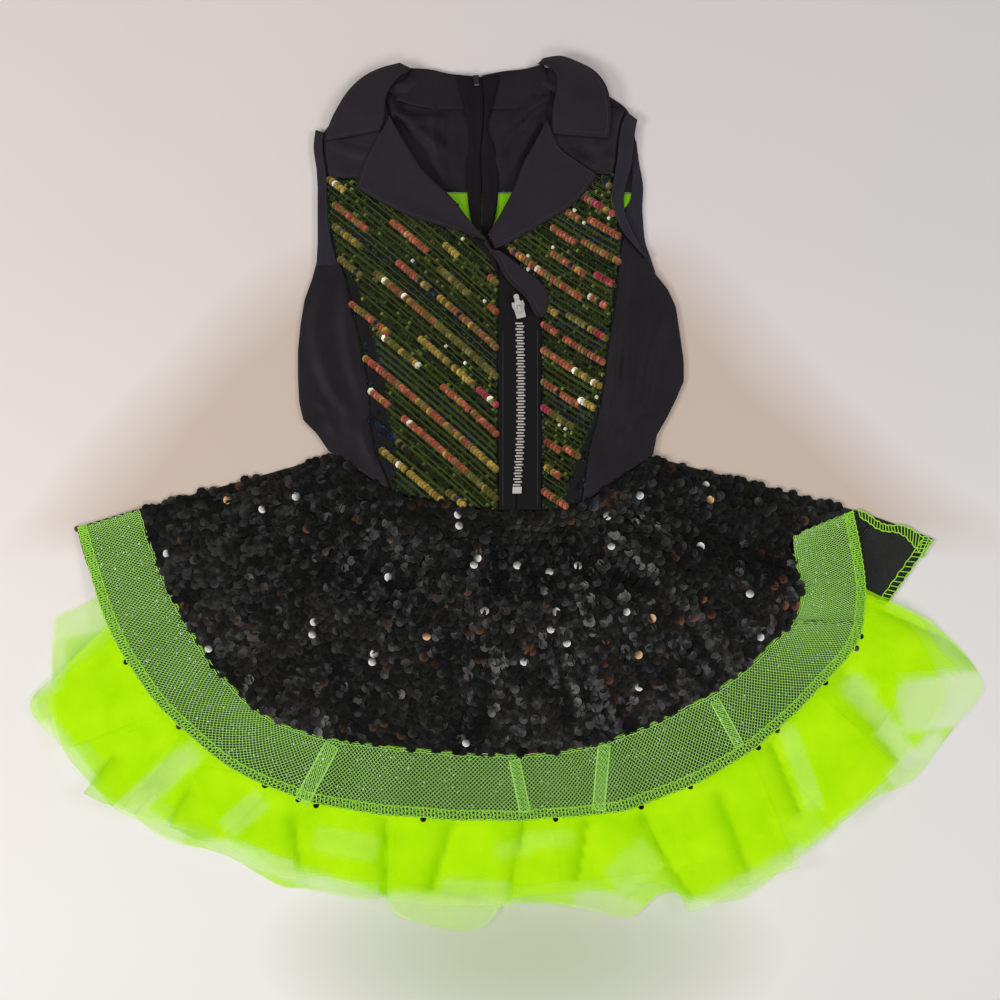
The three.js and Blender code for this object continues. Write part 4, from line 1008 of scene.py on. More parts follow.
RIGHT_STRIPES = [
    (60, 243, 70, 236, CORAL), (72, 236, 79, 224, CORAL), (58, 221, 79, 206, PINK),
    (45, 207, 54, 203, COPPER), (61, 202, 82, 194, CORAL), (34, 194, 51, 182, CORAL),
    (56, 182, 82, 177, COPPER), (4, 177, 25, 161, CORAL), (25, 161, 55, 144, CORAL),
    (62, 143, 73, 139, CORAL), (33, 177, 58, 164, CORAL), (67, 162, 79, 155, PINK),
    (29, 138, 37, 135, GOLD), (45, 130, 58, 123, OLIVE), (61, 123, 75, 115, PINK),
    (26, 125, 36, 114, CORAL), (44, 115, 71, 97, CORAL), (26, 105, 52, 89, CORAL),
    (52, 89, 69, 79, GOLD), (26, 82, 54, 66, CORAL), (54, 66, 65, 60, GOLD),
    (27, 64, 34, 59, PINK), (34, 59, 49, 49, OLIVE), (29, 38, 38, 33, CORAL),
    (42, 31, 52, 25, CORAL), (30, 18, 39, 10, CORAL), (24, 6, 43, -12, CORAL),
]
ROW_PITCH = 4.1
SEQUIN_PITCH = 2.7
STRIPE_RADIUS = 2.9
GREEN_RADIUS = 1.7
SEQUIN_THICK = 0.12
SEQUIN_SIDES = 7


def row_frame(slope, bend, middle_x):
    """Coordinates of the sequin rows: along a row, and across the rows."""
    def forward(x, y):
        across = x * math.sin(slope) + y * math.cos(slope) + bend * (x - middle_x) ** 2
        return x / math.cos(slope), across

    def back(along, across):
        x = along * math.cos(slope)
        return x, (across - bend * (x - middle_x) ** 2 - x * math.sin(slope)) / math.cos(slope)
    return forward, back


def row_colours(pick, kind, across, stripes):
    """Green sequins in darker and lighter runs, with the stripes between them and painted glints
    among them.
    """
    count = len(kind)
    colours = np.array([LEAF] * count) * pick.uniform(0.5, 1.5, (count, 1))
    runs = np.sin(across / 9.5)
    for chance, where, colour in (
        (0.35, runs > -2, DARK_LEAF), (0.1, runs < 0.4, BRIGHT_LEAF), (0.4, runs > 0.6, NAVY),
    ):
        some = (pick.random(count) < chance) & where
        colours[some] = np.array(colour) * pick.uniform(0.6, 1.6, (some.sum(), 1))
    for number, stripe in enumerate(stripes):
        on = kind == number
        colours[on] = np.array(stripe[4]) * pick.uniform(0.7, 1.25, (on.sum(), 1))
    # Scattered white sequins are painted glints.
    glints = pick.random(count) < 0.007
    colours[glints] = PAINTED_GLINT_WHITE
    for chance, colour in ((0.08, GOLD), (0.12, OLIVE), (0.02, NAVY), (0.018, PAINTED_GLINT_WHITE)):
        some = (kind >= 0) & (pick.random(count) < chance)
        colours[some] = np.array(colour) * pick.uniform(0.8, 1.3, (some.sum(), 1))
    return colours


def striped_sequins(name, rows, green_edge, stripes, slope, bend, middle_x, seed):
    """Rows of small sequins that overlap like fallen coins, with chain stitch between the rows."""
    pick = np.random.default_rng(seed)
    forward, back = row_frame(slope, bend, middle_x)
    seam = np.stack([rows["seamX"], rows["seamY"]], 1)
    centre = np.stack([rows["centreX"], rows["centreY"]], 1)
    outline = np.concatenate([seam, centre[::-1]])
    along0, across0 = forward(outline[:, 0], outline[:, 1])
    first_line = math.floor(across0.min() / ROW_PITCH) - 4
    last_line = math.ceil(across0.max() / ROW_PITCH) + 4
    lines = np.arange(first_line, last_line)
    steps = np.arange(along0.min() - 20, along0.max() + 20, SEQUIN_PITCH)
    line, step = [grid.ravel() for grid in np.meshgrid(lines, steps, indexing="ij")]
    along = step + pick.normal(0, 0.1, step.size)
    across = line * ROW_PITCH + pick.normal(0, 0.12, step.size)
    x, y = back(along, across)
    keep = inside(x, y, outline)
    line, along, across, x, y = (values[keep] for values in (line, along, across, x, y))
    kind = np.full(len(x), -1)
    for number, (x0, y0, x1, y1, _) in enumerate(stripes):
        ends = [forward(x0, y0), forward(x1, y1)]
        nearest = round((ends[0][1] + ends[1][1]) / 2 / ROW_PITCH)
        on = (line == nearest) & (along > ends[0][0] - 1) & (along < ends[1][0] + 1)
        kind[on] = number
    colours = row_colours(pick, kind, across, stripes)
    loose = ~green_edge(x, y) & (kind < 0)
    colours[loose] = np.array(NAVY) * pick.uniform(0.3, 1.3, (loose.sum(), 1))
    keep = ~(loose & (pick.random(len(x)) < 0.86))
    x, y, colours, kind = x[keep], y[keep], colours[keep], kind[keep]
    striped = kind >= 0
    normals = slopes(front_low, x, y)
    lean = np.where(striped, 0.3, 0.42) + pick.normal(0, 0.09, len(x))
    normals[:, 0] += lean * math.cos(slope) + pick.normal(0, 0.08, len(x))
    normals[:, 1] += -lean * math.sin(slope) + pick.normal(0, 0.08, len(x))
    centres = np.stack([x, y, front_low(x, y) + CLOTH + np.where(striped, 1.1, 0.6)], 1)
    radii = np.where(striped, STRIPE_RADIUS, GREEN_RADIUS) * pick.uniform(0.95, 1.03, len(x))
    spins = pick.uniform(*ANY_ANGLE, len(x))
    discs = small_discs(centres, normals, spins, radii, SEQUIN_THICK, SEQUIN_SIDES)
    points, faces, stride = discs
    piece = make_piece(name + "_sequins", points, faces, STRIPE_SEQUIN, False)
    # Each sequin is painted lighter at its rim towards the upper left and darker where the next
    # one covers it: painted shade.
    way = np.tile((-math.cos(slope), math.sin(slope)), (len(x), 1))
    shade = 0.7 + 0.5 * towards(points, centres, stride, way, radii)
    tinted(piece, colours, stride, np.clip(shade, 0.2, 1.2))
    settle(piece, "striped_sequins")
    paths, tints = [], []
    for row in lines:
        for offset in (0.38, 0.64):
            x, y = back(steps, (row + offset) * ROW_PITCH + 0.25 * np.sin(steps * 3.1 + row))
            keep = inside(x, y, outline) & green_edge(x, y)
            if keep.sum() < 6:
                continue
            places = np.linspace(0, 1, keep.sum())
            x, y = (np.interp(np.linspace(0, 1, 60), places, values[keep]) for values in (x, y))
            height = front_low(x, y) + CLOTH + 0.95 + 0.15 * np.sin(x * 2.3)
            paths.append(np.stack([x, y, height], -1))
            tints.append(np.array(ROW_THREAD) * pick.uniform(0.15, 1.5))
    tints = np.array(tints)
    threads(name + "_threads", paths, 0.5, 0.3, STRIPE_THREAD, "striped_sequins", tints)


left_rows = {"slope": math.radians(40), "bend": 0.0004, "middle_x": -70, "seed": 5}
right_rows = {"slope": math.radians(31), "bend": -0.0012, "middle_x": 60, "seed": 6}
striped_sequins("left_stripes", LEFT, left_green, LEFT_STRIPES, **left_rows)
striped_sequins("right_stripes", RIGHT, right_green, RIGHT_STRIPES, **right_rows)


# Skirt: one row for each radial line at the waist, three tenths down, the band seam and the hem

SKIRT = table(
    "waistX waistY middleX middleY seamX seamY hemX hemY",
    (-134, 28.8, -163, 11.5, -275, -13, -322, -27), (-131, 27, -166, 3, -263, -45, -313, -57),
    (-125, 23, -161, -7, -245, -82, -300, -93), (-118, 18.4, -149, -22, -223, -118, -279, -131),
    (-108, 12, -135, -36, -197, -150, -246, -171), (-96, 4.2, -116, -49, -164, -173, -196, -210),
    (-86, -2.2, -93, -57, -123, -183, -133, -233), (-52, -8.2, -59, -62, -75, -189, -80, -240.5),
    (-20, -14, -20, -69, -20, -193, -22, -244), (14, -16, 20, -69, 33, -192, 35, -242),
    (38, -14, 51, -64, 80, -181, 88, -235.5), (54.5, -11.4, 75, -57, 122, -163, 141, -215.5),
    (66, -3.6, 94, -45, 160, -142, 189, -185.5), (77, 4, 112, -30, 192, -114, 229, -148),
    (87, 10.8, 124, -20, 211, -94, 258, -114), (94, 15.6, 130, -12, 217, -75, 267, -81),
    (100, 19.8, 134, -5, 213.5, -52, 264, -45), (105, 23.2, 139, 0, 212, -33, 259, -14),
    (109, 26, 145, 5, 248, -12, 262, -12),
)
SKIRT_MIDDLE = 0.3
GATHERS = 38
BAND_STEP_Y = -96
BAND = {key: values[:-1] for key, values in SKIRT.items()}


def skirt_plan(u, v):
    def bow(axis):
        parts = "waist", "middle", "seam"
        start, middle, end = (follow(SKIRT[part + axis], u) for part in parts)
        first = (middle - start) / SKIRT_MIDDLE
        bend = (end - middle) / (1 - SKIRT_MIDDLE) - first
        return start + first * v + bend * v * (v - SKIRT_MIDDLE)
    return bow("X"), bow("Y")


def band_plan(u, v):
    parts = "seamX", "seamY", "hemX", "hemY"
    seam_x, seam_y, hem_x, hem_y = (follow(BAND[part], u) for part in parts)
    start = SEAM / np.hypot(hem_x - seam_x, hem_y - seam_y)
    share = start + (1 - start) * v
    return mix(seam_x, hem_x, share), mix(seam_y, hem_y, share)


def skirt_height(x, y):
    """The skirt's underside, with gathers at the waist and the step where the band folds."""
    turn, down = on_skirt(x, y)
    wave = np.sin(turn * TURN * GATHERS + 1.5 * np.sin(turn * 37))
    gathers = 0.55 * wave * ease(down, 0.02, 0.15) * (1 - ease(down, 0.35, 0.7))
    above = y - BAND_STEP_Y
    step = -2.2 * ease(x, 190, 215) * ease(above, -0.8, 0.4) * np.exp(-((above / 14) ** 2))
    return skirt_low(x, y) + gathers + step + 0.9 * ripples(x, y, 55, 21) * ease(down, 0.1, 0.4)


def front_sheet(name, plan, around, down, look, slot, held):
    x, y = plan(*np.meshgrid(around, down))
    height = skirt_height(x, y)
    cloth = {"held": held, "rests_on": ["tulle_upper"]}
    lay_sheet(name, x, y, height, SKIRT_CLOTH, look, slot, [name], **cloth)


front_sheet("skirt_front", skirt_plan, spaced(260, 0.001), spaced(70, 0.004), SKIRT_GROUND,
            "black_sequins", "gathered")
front_sheet("hem_band_front", band_plan, spaced(320, 0.001), spaced(14, 0.02), BAND_GROUND,
            "horsehair_band", "laid")


BLACK_DISC, GREY_DISC = (0.0052, 0.0048, 0.0046), (0.018, 0.018, 0.018)
BROWN_DISC = (0.07, 0.028, 0.012)
# White and warm discs are painted glints.
PAINTED_GLINT, WARM_PAINTED_GLINT = (1, 1, 0.98), (1, 0.6, 0.28)


def disc_colours(pick, count):
    """Mostly black, some greyer and some brown."""
    colours = np.array([BLACK_DISC] * count) * pick.uniform(0.5, 1.7, (count, 1))
    for chance, colour in ((0.09, GREY_DISC), (0.02, BROWN_DISC)):
        some = pick.random(count) < chance
        colours[some] = np.array(colour) * pick.uniform(0.5, 1.4, (some.sum(), 1))
    return colours


def paillettes(name, x, y, surface, seed, radius=3.7, tilt=0.08):
    """Round black sequins that overlap like loose scales on a surface."""
    pick = np.random.default_rng(seed)
    count = len(x)
    normals = slopes(surface, x, y)
    outward = np.arctan2(y - SKIRT_Y, x - SKIRT_X)
    tip = pick.normal(0.13, 0.06, count)
    normals[:, 0] += -np.cos(outward) * tip + pick.normal(0, tilt, count)
    normals[:, 1] += -np.sin(outward) * tip + pick.normal(0, tilt, count)
    height = surface(x, y) + SKIRT_CLOTH + 0.9 + pick.uniform(-0.15, 0.5, count)
    patches = np.clip(1.1 + 0.6 * ripples(x, y, 75, seed), 0.35, 2.4)
    colours = disc_colours(pick, count) * patches[:, None]
    white_glint_discs = pick.random(count) < 0.009
    colours[white_glint_discs] = PAINTED_GLINT
    warm_glint_discs = pick.random(count) < 0.0016
    colours[warm_glint_discs] = WARM_PAINTED_GLINT
    glint_discs = white_glint_discs | warm_glint_discs
    normals[glint_discs] = (0.1, 0.1, 1)
    height[glint_discs] += 0.6
    radii = np.where(glint_discs, 0.85, 1) * radius * pick.uniform(0.92, 1.05, count)
    centres = np.stack([x, y, height], 1)
    spins = pick.uniform(*ANY_ANGLE, count)
    points, faces, stride = small_discs(centres, normals, spins, radii, 0.15, 10, 0.05)
    piece = make_piece(name, points, faces, PAILLETTE, False)
    # Each disc is painted lighter towards one rim, darker towards the other and darker at its
    # centre: painted shade; a glint disc is painted bright on one side only.
    turn = outward + pick.normal(0, 0.7, count)
    way = np.stack([np.cos(turn), np.sin(turn)], 1)
    reach = towards(points, centres, stride, way, radii).reshape(count, stride)
    shade = np.clip(0.85 + 0.75 * reach, 0.12, 1.6)
    shade[:, -2:] = 0.3
    glint = np.clip(0.4 + pick.uniform(0.7, 1.6, (count, 1)) * reach, 0.02, 1)
    shade[glint_discs] = glint[glint_discs]
    tinted(piece, colours, stride, shade.reshape(-1, 1))
    settle(piece, "black_sequins")


PAILLETTE_PITCH = 5.2


def scattered(left, right, bottom, top, seed):
    """Places in offset rows, each a little out of line."""
    pick = np.random.default_rng(seed)
    columns = np.arange(left, right, PAILLETTE_PITCH)
    x, y = np.meshgrid(columns, np.arange(bottom, top, PAILLETTE_PITCH * 0.9))
    x = x + (np.arange(x.shape[0]) % 2)[:, None] * PAILLETTE_PITCH / 2
    return x.ravel() + pick.normal(0, 1.1, x.size), y.ravel() + pick.normal(0, 1.1, x.size)


def skirt_outline():
    edge, side = np.linspace(0, 1, 90), np.linspace(0, 1, 30)
    ring = [
        (edge, 0 * edge), (0 * side + 1, side), (edge[::-1], 0 * edge + 1), (0 * side, side[::-1]),
    ]
    return np.concatenate([np.stack(skirt_plan(u, v), 1) for u, v in ring])


def front_paillettes():
    x, y = scattered(-290, 270, -205, 45, 11)
    keep = inside(x, y, skirt_outline())
    paillettes("skirt_paillettes", x[keep], y[keep], skirt_height, 12)


front_paillettes()


# Back skirt and its band, flat on the surface

BACK_HEM = table(
    "x y",
    (-323, -27), (-316, -53), (-304, -82), (-277, -132), (-236, -180), (-186, -214), (-132, -233),
    (-77, -240), (-21, -242), (36, -241), (90, -233), (142, -215), (187, -186), (228, -149),
    (262, -115), (289, -79), (319, -36), (291, -25), (262, -15),
)
BAND_WIDTH = 48


def back_skirt_plan(u):
    hem = np.stack([follow(BACK_HEM["x"], u, (16,)), follow(BACK_HEM["y"], u, (16,))])
    waist_x = mix(-133.5, 108.5, ease(u, 0, 1) * 0.4 + u * 0.6)
    waist = np.stack([waist_x, back_waist(waist_x) - 2 * SEAM])
    inward = (waist - hem) / np.hypot(*(waist - hem))
    return hem, waist, hem + inward * BAND_WIDTH


def back_surface(x, y):
    return 0 * x + 0.3


def back_skirt():
    u, v = np.meshgrid(spaced(120, 0.002), spaced(20, 0.01))
    _, waist, seam = back_skirt_plan(u)
    x, y = mix(waist, seam, v)
    name = "skirt_back"
    lay_sheet(name, x, y, 0 * x, SKIRT_CLOTH, SKIRT_GROUND, "black_sequins", [name])
    hem, _, seam = back_skirt_plan(u)
    x, y = mix(seam, hem, SEAM / BAND_WIDTH + (1 - SEAM / BAND_WIDTH) * v)
    name = "hem_band_back"
    lay_sheet(name, x, y, 0 * x, SKIRT_CLOTH, WRONG_SIDE, "horsehair_band", [name])
    edge = np.linspace(0, 1, 160)
    hem, waist, _ = back_skirt_plan(edge)
    outline = np.concatenate([hem.T, waist.T[::-1]])
    x, y = scattered(-320, 262, -90, 60, 13)
    keep = inside(x, y, outline) & ~inside(x, y, skirt_outline())
    keep &= (y > -12) & (x < 262) & (x > -262)
    paillettes("back_paillettes", x[keep], y[keep], back_surface, 14)


back_skirt()


def over_back_hem(u, v, lift):
    hem, _, seam = back_skirt_plan(u)
    x, y = mix(seam, hem, v)
    return np.stack([x, y, 0 * x + SKIRT_CLOTH + lift], -1)


# Net: the outer edge of each layer from the left to the right

TULLE_EDGES = tables("x y", {
    "tulle_lower": [
        (-339, -95), (-342, -139), (-335, -188), (-314, -218), (-282, -242), (-258, -259),
        (-210, -274), (-172, -295), (-151, -298), (-111, -305), (-92, -304), (-84, -317),
        (-52, -327), (-21, -327), (-3, -311), (34, -309), (71, -316), (94, -319), (117, -301),
        (163, -308), (189, -297), (223, -271), (243, -255), (274, -231), (306, -215), (331, -182),
        (356, -150), (345, -124), (315, -96),
    ],
    "tulle_middle": [
        (-298, -100), (-328, -130), (-357, -160), (-330, -192), (-312, -215), (-286, -242),
        (-237, -251), (-200, -270), (-174, -286), (-132, -290), (-93, -300), (-58, -305),
        (-21, -309), (12, -302), (45, -299), (84, -296), (112, -292), (140, -306), (164, -300),
        (190, -288), (218, -270), (248, -244), (276, -222), (300, -196), (326, -158), (316, -124),
        (292, -92),
    ],
    "tulle_upper": [
        (-284, -110), (-305, -140), (-318, -172), (-296, -204), (-262, -226), (-226, -246),
        (-186, -264), (-152, -276), (-114, -284), (-76, -290), (-40, -293), (0, -293), (36, -290),
        (72, -287), (106, -283), (142, -276), (178, -262), (208, -244), (240, -218), (266, -190),
        (288, -156), (284, -124), (272, -96),
    ],
})
TULLE_TOP = 0.13

# Where one layer of the net lies open: middle, half length, half width, turn in degrees and
# how open it is
NET_OPEN = table(
    "x y long wide turn open",
    (326, -158, 34, 20, 8, 0.74), (279, -172, 42, 8, -52, 0.6), (308, -204, 26, 12, 38, 0.62),
    (252, -252, 44, 9, 40, 0.42), (180, -296, 52, 12, 27, 0.6), (75, -312, 26, 10, -12, 0.6),
    (94, -281, 20, 14, 40, 0.22), (-40, -314, 50, 14, -4, 0.66), (-24, -296, 26, 8, -3, 0.3),
    (-158, -286, 74, 8, -19, 0.5), (-264, -220, 42, 9, 41, 0.55), (-262, -252, 22, 9, -30, 0.5),
    (-332, -198, 30, 12, -54, 0.55), (-330, -98, 28, 12, 10, 0.5), (-346, -128, 14, 22, 0, 0.35),
    (-196, -240, 18, 9, 40, 0.3), (218, -206, 7, 34, 20, 0.25), (20, -262, 30, 6, 12, 0.15),
    (-120, -262, 24, 10, -10, 0.15),
)


SHADE_REACH = 7

# Sharp folds of the net, each with a painted shade on the right of the way it runs
NET_FOLDS = [
    [(-302, -102), (-328, -128), (-354, -156)], [(-287, -244), (-318, -227), (-294, -194)],
    [(-217, -264), (-256, -251), (-238, -219)], [(-91, -242), (-90, -317)],
    [(-160, -240), (-150, -296)],
    [(13, -242), (1, -310)], [(99, -238), (119, -276), (138, -303)], [(195, -186), (219, -243)],
    [(248, -132), (296, -205)], [(288, -207), (317, -199), (356, -152)],
    [(276, -88), (330, -112), (354, -134)],
    [(60, -244), (52, -292)], [(-40, -246), (-58, -300)], [(156, -222), (182, -286)],
]


def beside_folds(x, y):
    """How deep the painted shade on the net is: most at a fold, fading away on one side of it."""
    deep = 0 * x
    for fold in NET_FOLDS:
        for (ax, ay), (bx, by) in zip(fold, fold[1:]):
            long = math.hypot(bx - ax, by - ay)
            along = ((x - ax) * (bx - ax) + (y - ay) * (by - ay)) / long ** 2
            side = ((x - ax) * (by - ay) - (y - ay) * (bx - ax)) / long
            near = np.exp(-np.maximum(side, 0) / SHADE_REACH) * ease(side, -1.5, 0.5)
            ends = ease(along, -0.06, 0.1) * (1 - ease(along, 0.92, 1.04))
            deep = np.maximum(deep, near * ends)
    return deep


def closeness(x, y):
    """How close the net's threads lie, how pale it is where they are open, and how deep its
    painted shade is.
    """
    close, full = 1 + 0 * x, 1 + 0 * x
    for at_x, at_y, long, wide, turn, open_share in zip(*NET_OPEN.values()):
        turn = math.radians(turn)
        along = ((x - at_x) * math.cos(turn) + (y - at_y) * math.sin(turn)) / long
        across = ((y - at_y) * math.cos(turn) - (x - at_x) * math.sin(turn)) / wide
        reach = (along ** 8 + across ** 8) ** 0.125
        there = 1 - ease(reach, 0.88, 1.08)
        close = close * (1 - 0.62 * open_share * there)
        full = full * (1 - 1.1 * open_share * there)
    return np.stack([close, 1 - full, beside_folds(x, y) * full], 1)


def net_piece(name, x, y, height, nodes, rests_on):
    cloth = {"held": "gathered", "rests_on": rests_on}
    piece = lay_sheet(name, x, y, height, NET, TULLE, "lime_tulle", nodes, **cloth)
    tinted(piece, closeness(*plan_of(piece)))


def net_rise(full):
    """How far one layer of the net stands above the next."""
    return 1.5 + 4.5 * full


def below_back(down):
    """The back's hem lifts the net, which comes down to the surface beyond it."""
    return (CLOTH + LAYER) * (1 - ease(down, 1.22, 1.34))


def tulle_layer(name, layer, pleats, overlap, seed, rests_on):
    """Gathered net: here and there its pleats fold over, and its hem keeps to the edge."""
    pick = np.random.default_rng(seed)
    edge = TULLE_EDGES[name]
    u, v = np.meshgrid(spaced(pleats * 40, 0.0005), 1 - (1 - spaced(32, 0.003)) ** 1.6)
    phase = TURN * pleats * u
    for wave in range(2, 6):
        swing = pick.uniform(0.5, 1.5)
        phase = phase + swing * np.sin(TURN * wave * u + pick.uniform(*ANY_ANGLE))
    slow = np.sin(TURN * 2 * u + pick.uniform(*ANY_ANGLE))
    depth = (1.5 + 1.0 * slow * np.sin(TURN * 5 * u + seed)) * overlap
    rim_turn, rim_down = on_skirt(follow(edge["x"], u[0]), follow(edge["y"], u[0]))
    inside_ends = ease(u, 0, 0.04) * (1 - ease(u, 0.96, 1))
    shift = depth * np.sin(phase) / (TURN * pleats) * inside_ends * ease(v, 0.05, 0.7)
    turn = rim_turn + shift * (rim_turn[-1] - rim_turn[0])
    order = np.argsort(rim_turn)
    reach = mix(rim_down, np.interp(turn, rim_turn[order], rim_down[order]), 0.85)
    down = mix(TULLE_TOP, reach, v)
    x, y = from_skirt(turn, down)
    full = fullness(turn, down)
    folds = 3.2 * full * (0.5 + 0.5 * np.sin(phase))
    height = below_back(down) + layer * net_rise(full) + folds + 0.15
    net_piece(name, x, y, height, [name], rests_on)


# Pleats of the net that are folded over flat, by the corners of each
NET_FLAPS = {
    "net_flap_left_tip": [(-290, -105), (-345, -154), (-330, -190), (-262, -166)],
    "net_flap_left": [(-290, -192), (-314, -224), (-284, -241), (-244, -182)],
    "net_flap_lower_left": [(-234, -217), (-252, -249), (-214, -262), (-182, -228)],
    "net_flap_fourth": [(-153, -234), (-160, -280), (-92, -290), (-90, -242)],
    "net_flap_middle": [(-89, -246), (-88, -303), (0, -307), (12, -246)],
    "net_flap_lower_right": [(98, -238), (136, -312), (214, -277), (186, -208)],
    "net_flap_right": [(216, -158), (193, -190), (241, -251), (276, -218)],
    "net_flap_upper_right": [(268, -76), (308, -98), (334, -130), (262, -140)],
}


def net_top(x, y):
    turn, down = on_skirt(x, y)
    full = fullness(turn, down)
    return 2 * net_rise(full) + 4.1 * full + below_back(down) + 0.9


# A flap runs on upwards under the hem by this share of its length.
UNDER_HEM = 0.4


def net_flap(name, corners, seed):
    u, v = np.meshgrid(spaced(24, 0.01), spaced(24, 0.01))
    (ax, ay), (bx, by), (cx, cy), (dx, dy) = corners
    pairs = (ax, bx), (ay, by), (dx, cx), (dy, cy)
    ax, ay, dx, dy = (top + UNDER_HEM * (top - low) for top, low in pairs)
    x = mix(mix(ax, bx, v), mix(dx, cx, v), u)
    y = mix(mix(ay, by, v), mix(dy, cy, v), u)
    x = x + 2.5 * ripples(u * 60, v * 60, 40, seed) * v
    y = y + 2.5 * ripples(u * 60, v * 60, 50, seed + 1) * v
    height = net_top(x, y) + 0.8 * (1 + ripples(x, y, 40, seed + 2)) * ease(v, 0.3, 0.6)
    net_piece(name, x, y, height, [], ["tulle_upper"])


for number, (flap, corners) in enumerate(NET_FLAPS.items()):
    net_flap(flap, corners, 40 + number)

tulle_layer("tulle_lower", 0, 11, 0.35, 3, ["skirt_back"])
tulle_layer("tulle_middle", 1, 9, 0.45, 4, ["tulle_lower"])
tulle_layer("tulle_upper", 2, 8, 0.9, 8, ["tulle_middle"])


# Horsehair over the band, with glitter on it

def over_band(u, v, lift):
    x, y = band_plan(u, v)
    return np.stack([x, y, skirt_height(x, y) + SKIRT_CLOTH + lift], -1)


BAND_LENGTH = 880
HORSEHAIR_SPACING = 2.9
THREAD_LEAN = 46


def horsehair():
    """Two sets of fine threads that cross over the whole band."""
    lean = THREAD_LEAN / BAND_LENGTH
    count = int(BAND_LENGTH / HORSEHAIR_SPACING)
    steps = np.linspace(0.005, 0.995, 9)
    for name, way, lift in (("horsehair_one_way", 1, 0.15), ("horsehair_other_way", -1, 0.4)):
        paths = []
        for number in range(-20, count + 20):
            start = number / count
            u = start + way * lean * steps
            inside_band = (u > 0) & (u < 1)
            if inside_band.sum() < 3:
                continue
            low, high = steps[inside_band].min(), steps[inside_band].max()
            v = np.linspace(low, high, 9)
            paths.append(over_band(start + way * lean * v, v, lift))
        threads(name, paths, 0.46, 0.2, HORSEHAIR, "horsehair_band")


# Where the band is pleated: from its seam to its hem, and how wide the pleat is
BAND_PLEATS = [
    (-129, -187, -152, -229, 11), (5, -198, 13, -237, 8), (71, -187, 67, -236, 9),
    (152, -154, 171, -188, 7),
]


def band_pleats():
    """The horsehair lies double in each pleat, so its threads are close together there."""
    paths = []
    for x0, y0, x1, y1, wide in BAND_PLEATS:
        length = math.hypot(x1 - x0, y1 - y0)
        along = np.array([x1 - x0, y1 - y0]) / length
        across = np.array([-along[1], along[0]])
        runs = [((0, side), (1, side)) for side in (-0.5, -0.44, 0.44, 0.5)]
        for start in np.arange(-0.3, 1.05, 2.0 / length):
            reach = wide / length
            runs += [((start, -0.5), (start + reach, 0.5)), ((start + reach, -0.5), (start, 0.5))]
        for (t0, s0), (t1, s1) in runs:
            t = np.clip(np.linspace(t0, t1, 6), 0, 1)[:, None]
            s = np.linspace(s0, s1, 6)[:, None]
            point = np.array([x0, y0]) + along * t * length + across * s * wide
            height = skirt_height(point[:, 0], point[:, 1]) + SKIRT_CLOTH + 0.7
            if t[-1] > t[0]:
                paths.append(np.column_stack([point, height]))
    threads("band_pleats", paths, 0.6, 0.25, HORSEHAIR, "horsehair_band")


OVERLOCK = 7
RUNG_PITCH = 2.9


def overlock(name, surface, u_from, u_to, length, width, slot):
    """Overlocking along a hem: a thread on the edge, one inside it and rungs between them."""
    inner, outer = 1 - OVERLOCK / width, 0.985
    u = np.linspace(u_from, u_to, int(length / 3))
    lines = [surface(u, 0 * u + at + 0.012 * np.sin(u * 900), 0.7) for at in (inner, outer)]
    threads(name + "_edges", lines, 0.9, 0.45, LIME_THREAD, slot)
    rungs = []
    for start in np.linspace(u_from, u_to, int(length / RUNG_PITCH))[:-1]:
        t = np.linspace(0, 1, 4)
        slant = 1.1 / length * (u_to - u_from)
        rungs.append(surface(start + slant * t, mix(inner, outer, t), 0.55))
    threads(name + "_rungs", rungs, 0.8, 0.35, LIME_THREAD, slot)


BACK_CORNER = table(
    "outerX outerY innerX innerY",
    (262, -13.5, 264, -20), (269, -16.5, 270, -23.5), (276, -21.5, 276, -28),
    (282, -24.6, 283, -30.6), (288, -25.6, 290, -31), (296, -25.4, 297, -34),
    (303, -28.4, 303, -40), (310, -32.8, 308, -46), (320, -36.5, 312, -50),
)


def corner_overlock():
    """Overlocking along the short top edge of the back hem, which runs a little unevenly."""
    def along_edge(u, v):
        at = {key: follow(values, u) for key, values in BACK_CORNER.items()}
        x, y = mix(at["innerX"], at["outerX"], v), mix(at["innerY"], at["outerY"], v)
        return np.stack([x, y, 0 * x + 1.6], -1)
    u = np.linspace(0, 1, 60)
    edges = [along_edge(u, 0 * u + at + 0.06 * np.sin(u * 70)) for at in (0.05, 0.95)]
    threads("corner_overlock_edges", edges, 1.0, 0.5, LIME_THREAD, "horsehair_band")
    step = np.linspace(0, 1, 4)
    starts = np.linspace(0.01, 0.97, 24)
    rungs = [along_edge(start + 0.012 * step, 0.05 + 0.9 * step) for start in starts]
    threads("corner_overlock_rungs", rungs, 0.8, 0.4, LIME_THREAD, "horsehair_band")


def band_seam():
    """The band's inner edge, a fine selvedge that lies on the sequins."""
    u = np.linspace(0.002, 0.998, 320)
    lines = [over_band(u, 0 * u + at + 0.008 * np.sin(u * 500), 0.8) for at in (0.012, 0.045)]
    threads("band_selvedge", lines, 0.6, 0.3, HORSEHAIR, "horsehair_band")


def glitter():
    pick = np.random.default_rng(17)
    count = 1300
    u, v = pick.uniform(0.003, 0.997, count), pick.uniform(0.03, 0.85, count)
    centres = over_band(u, v, 0.75)
    normals = pick.normal(0, 0.25, (count, 3)) + (0, 0, 1)
    radii = 0.3 + 0.45 * pick.random(count) ** 2
    spins = pick.uniform(*ANY_ANGLE, count)
    points, faces, stride = small_discs(centres, normals, spins, radii, 0.1, 5)
    piece = make_piece("band_glitter", points, faces, GLITTER)
    pale = np.array([(0.8, 1.0, 0.9)] * count) * pick.uniform(0.4, 1.1, (count, 1))
    tinted(piece, pale, stride)
    settle(piece, "horsehair_band")


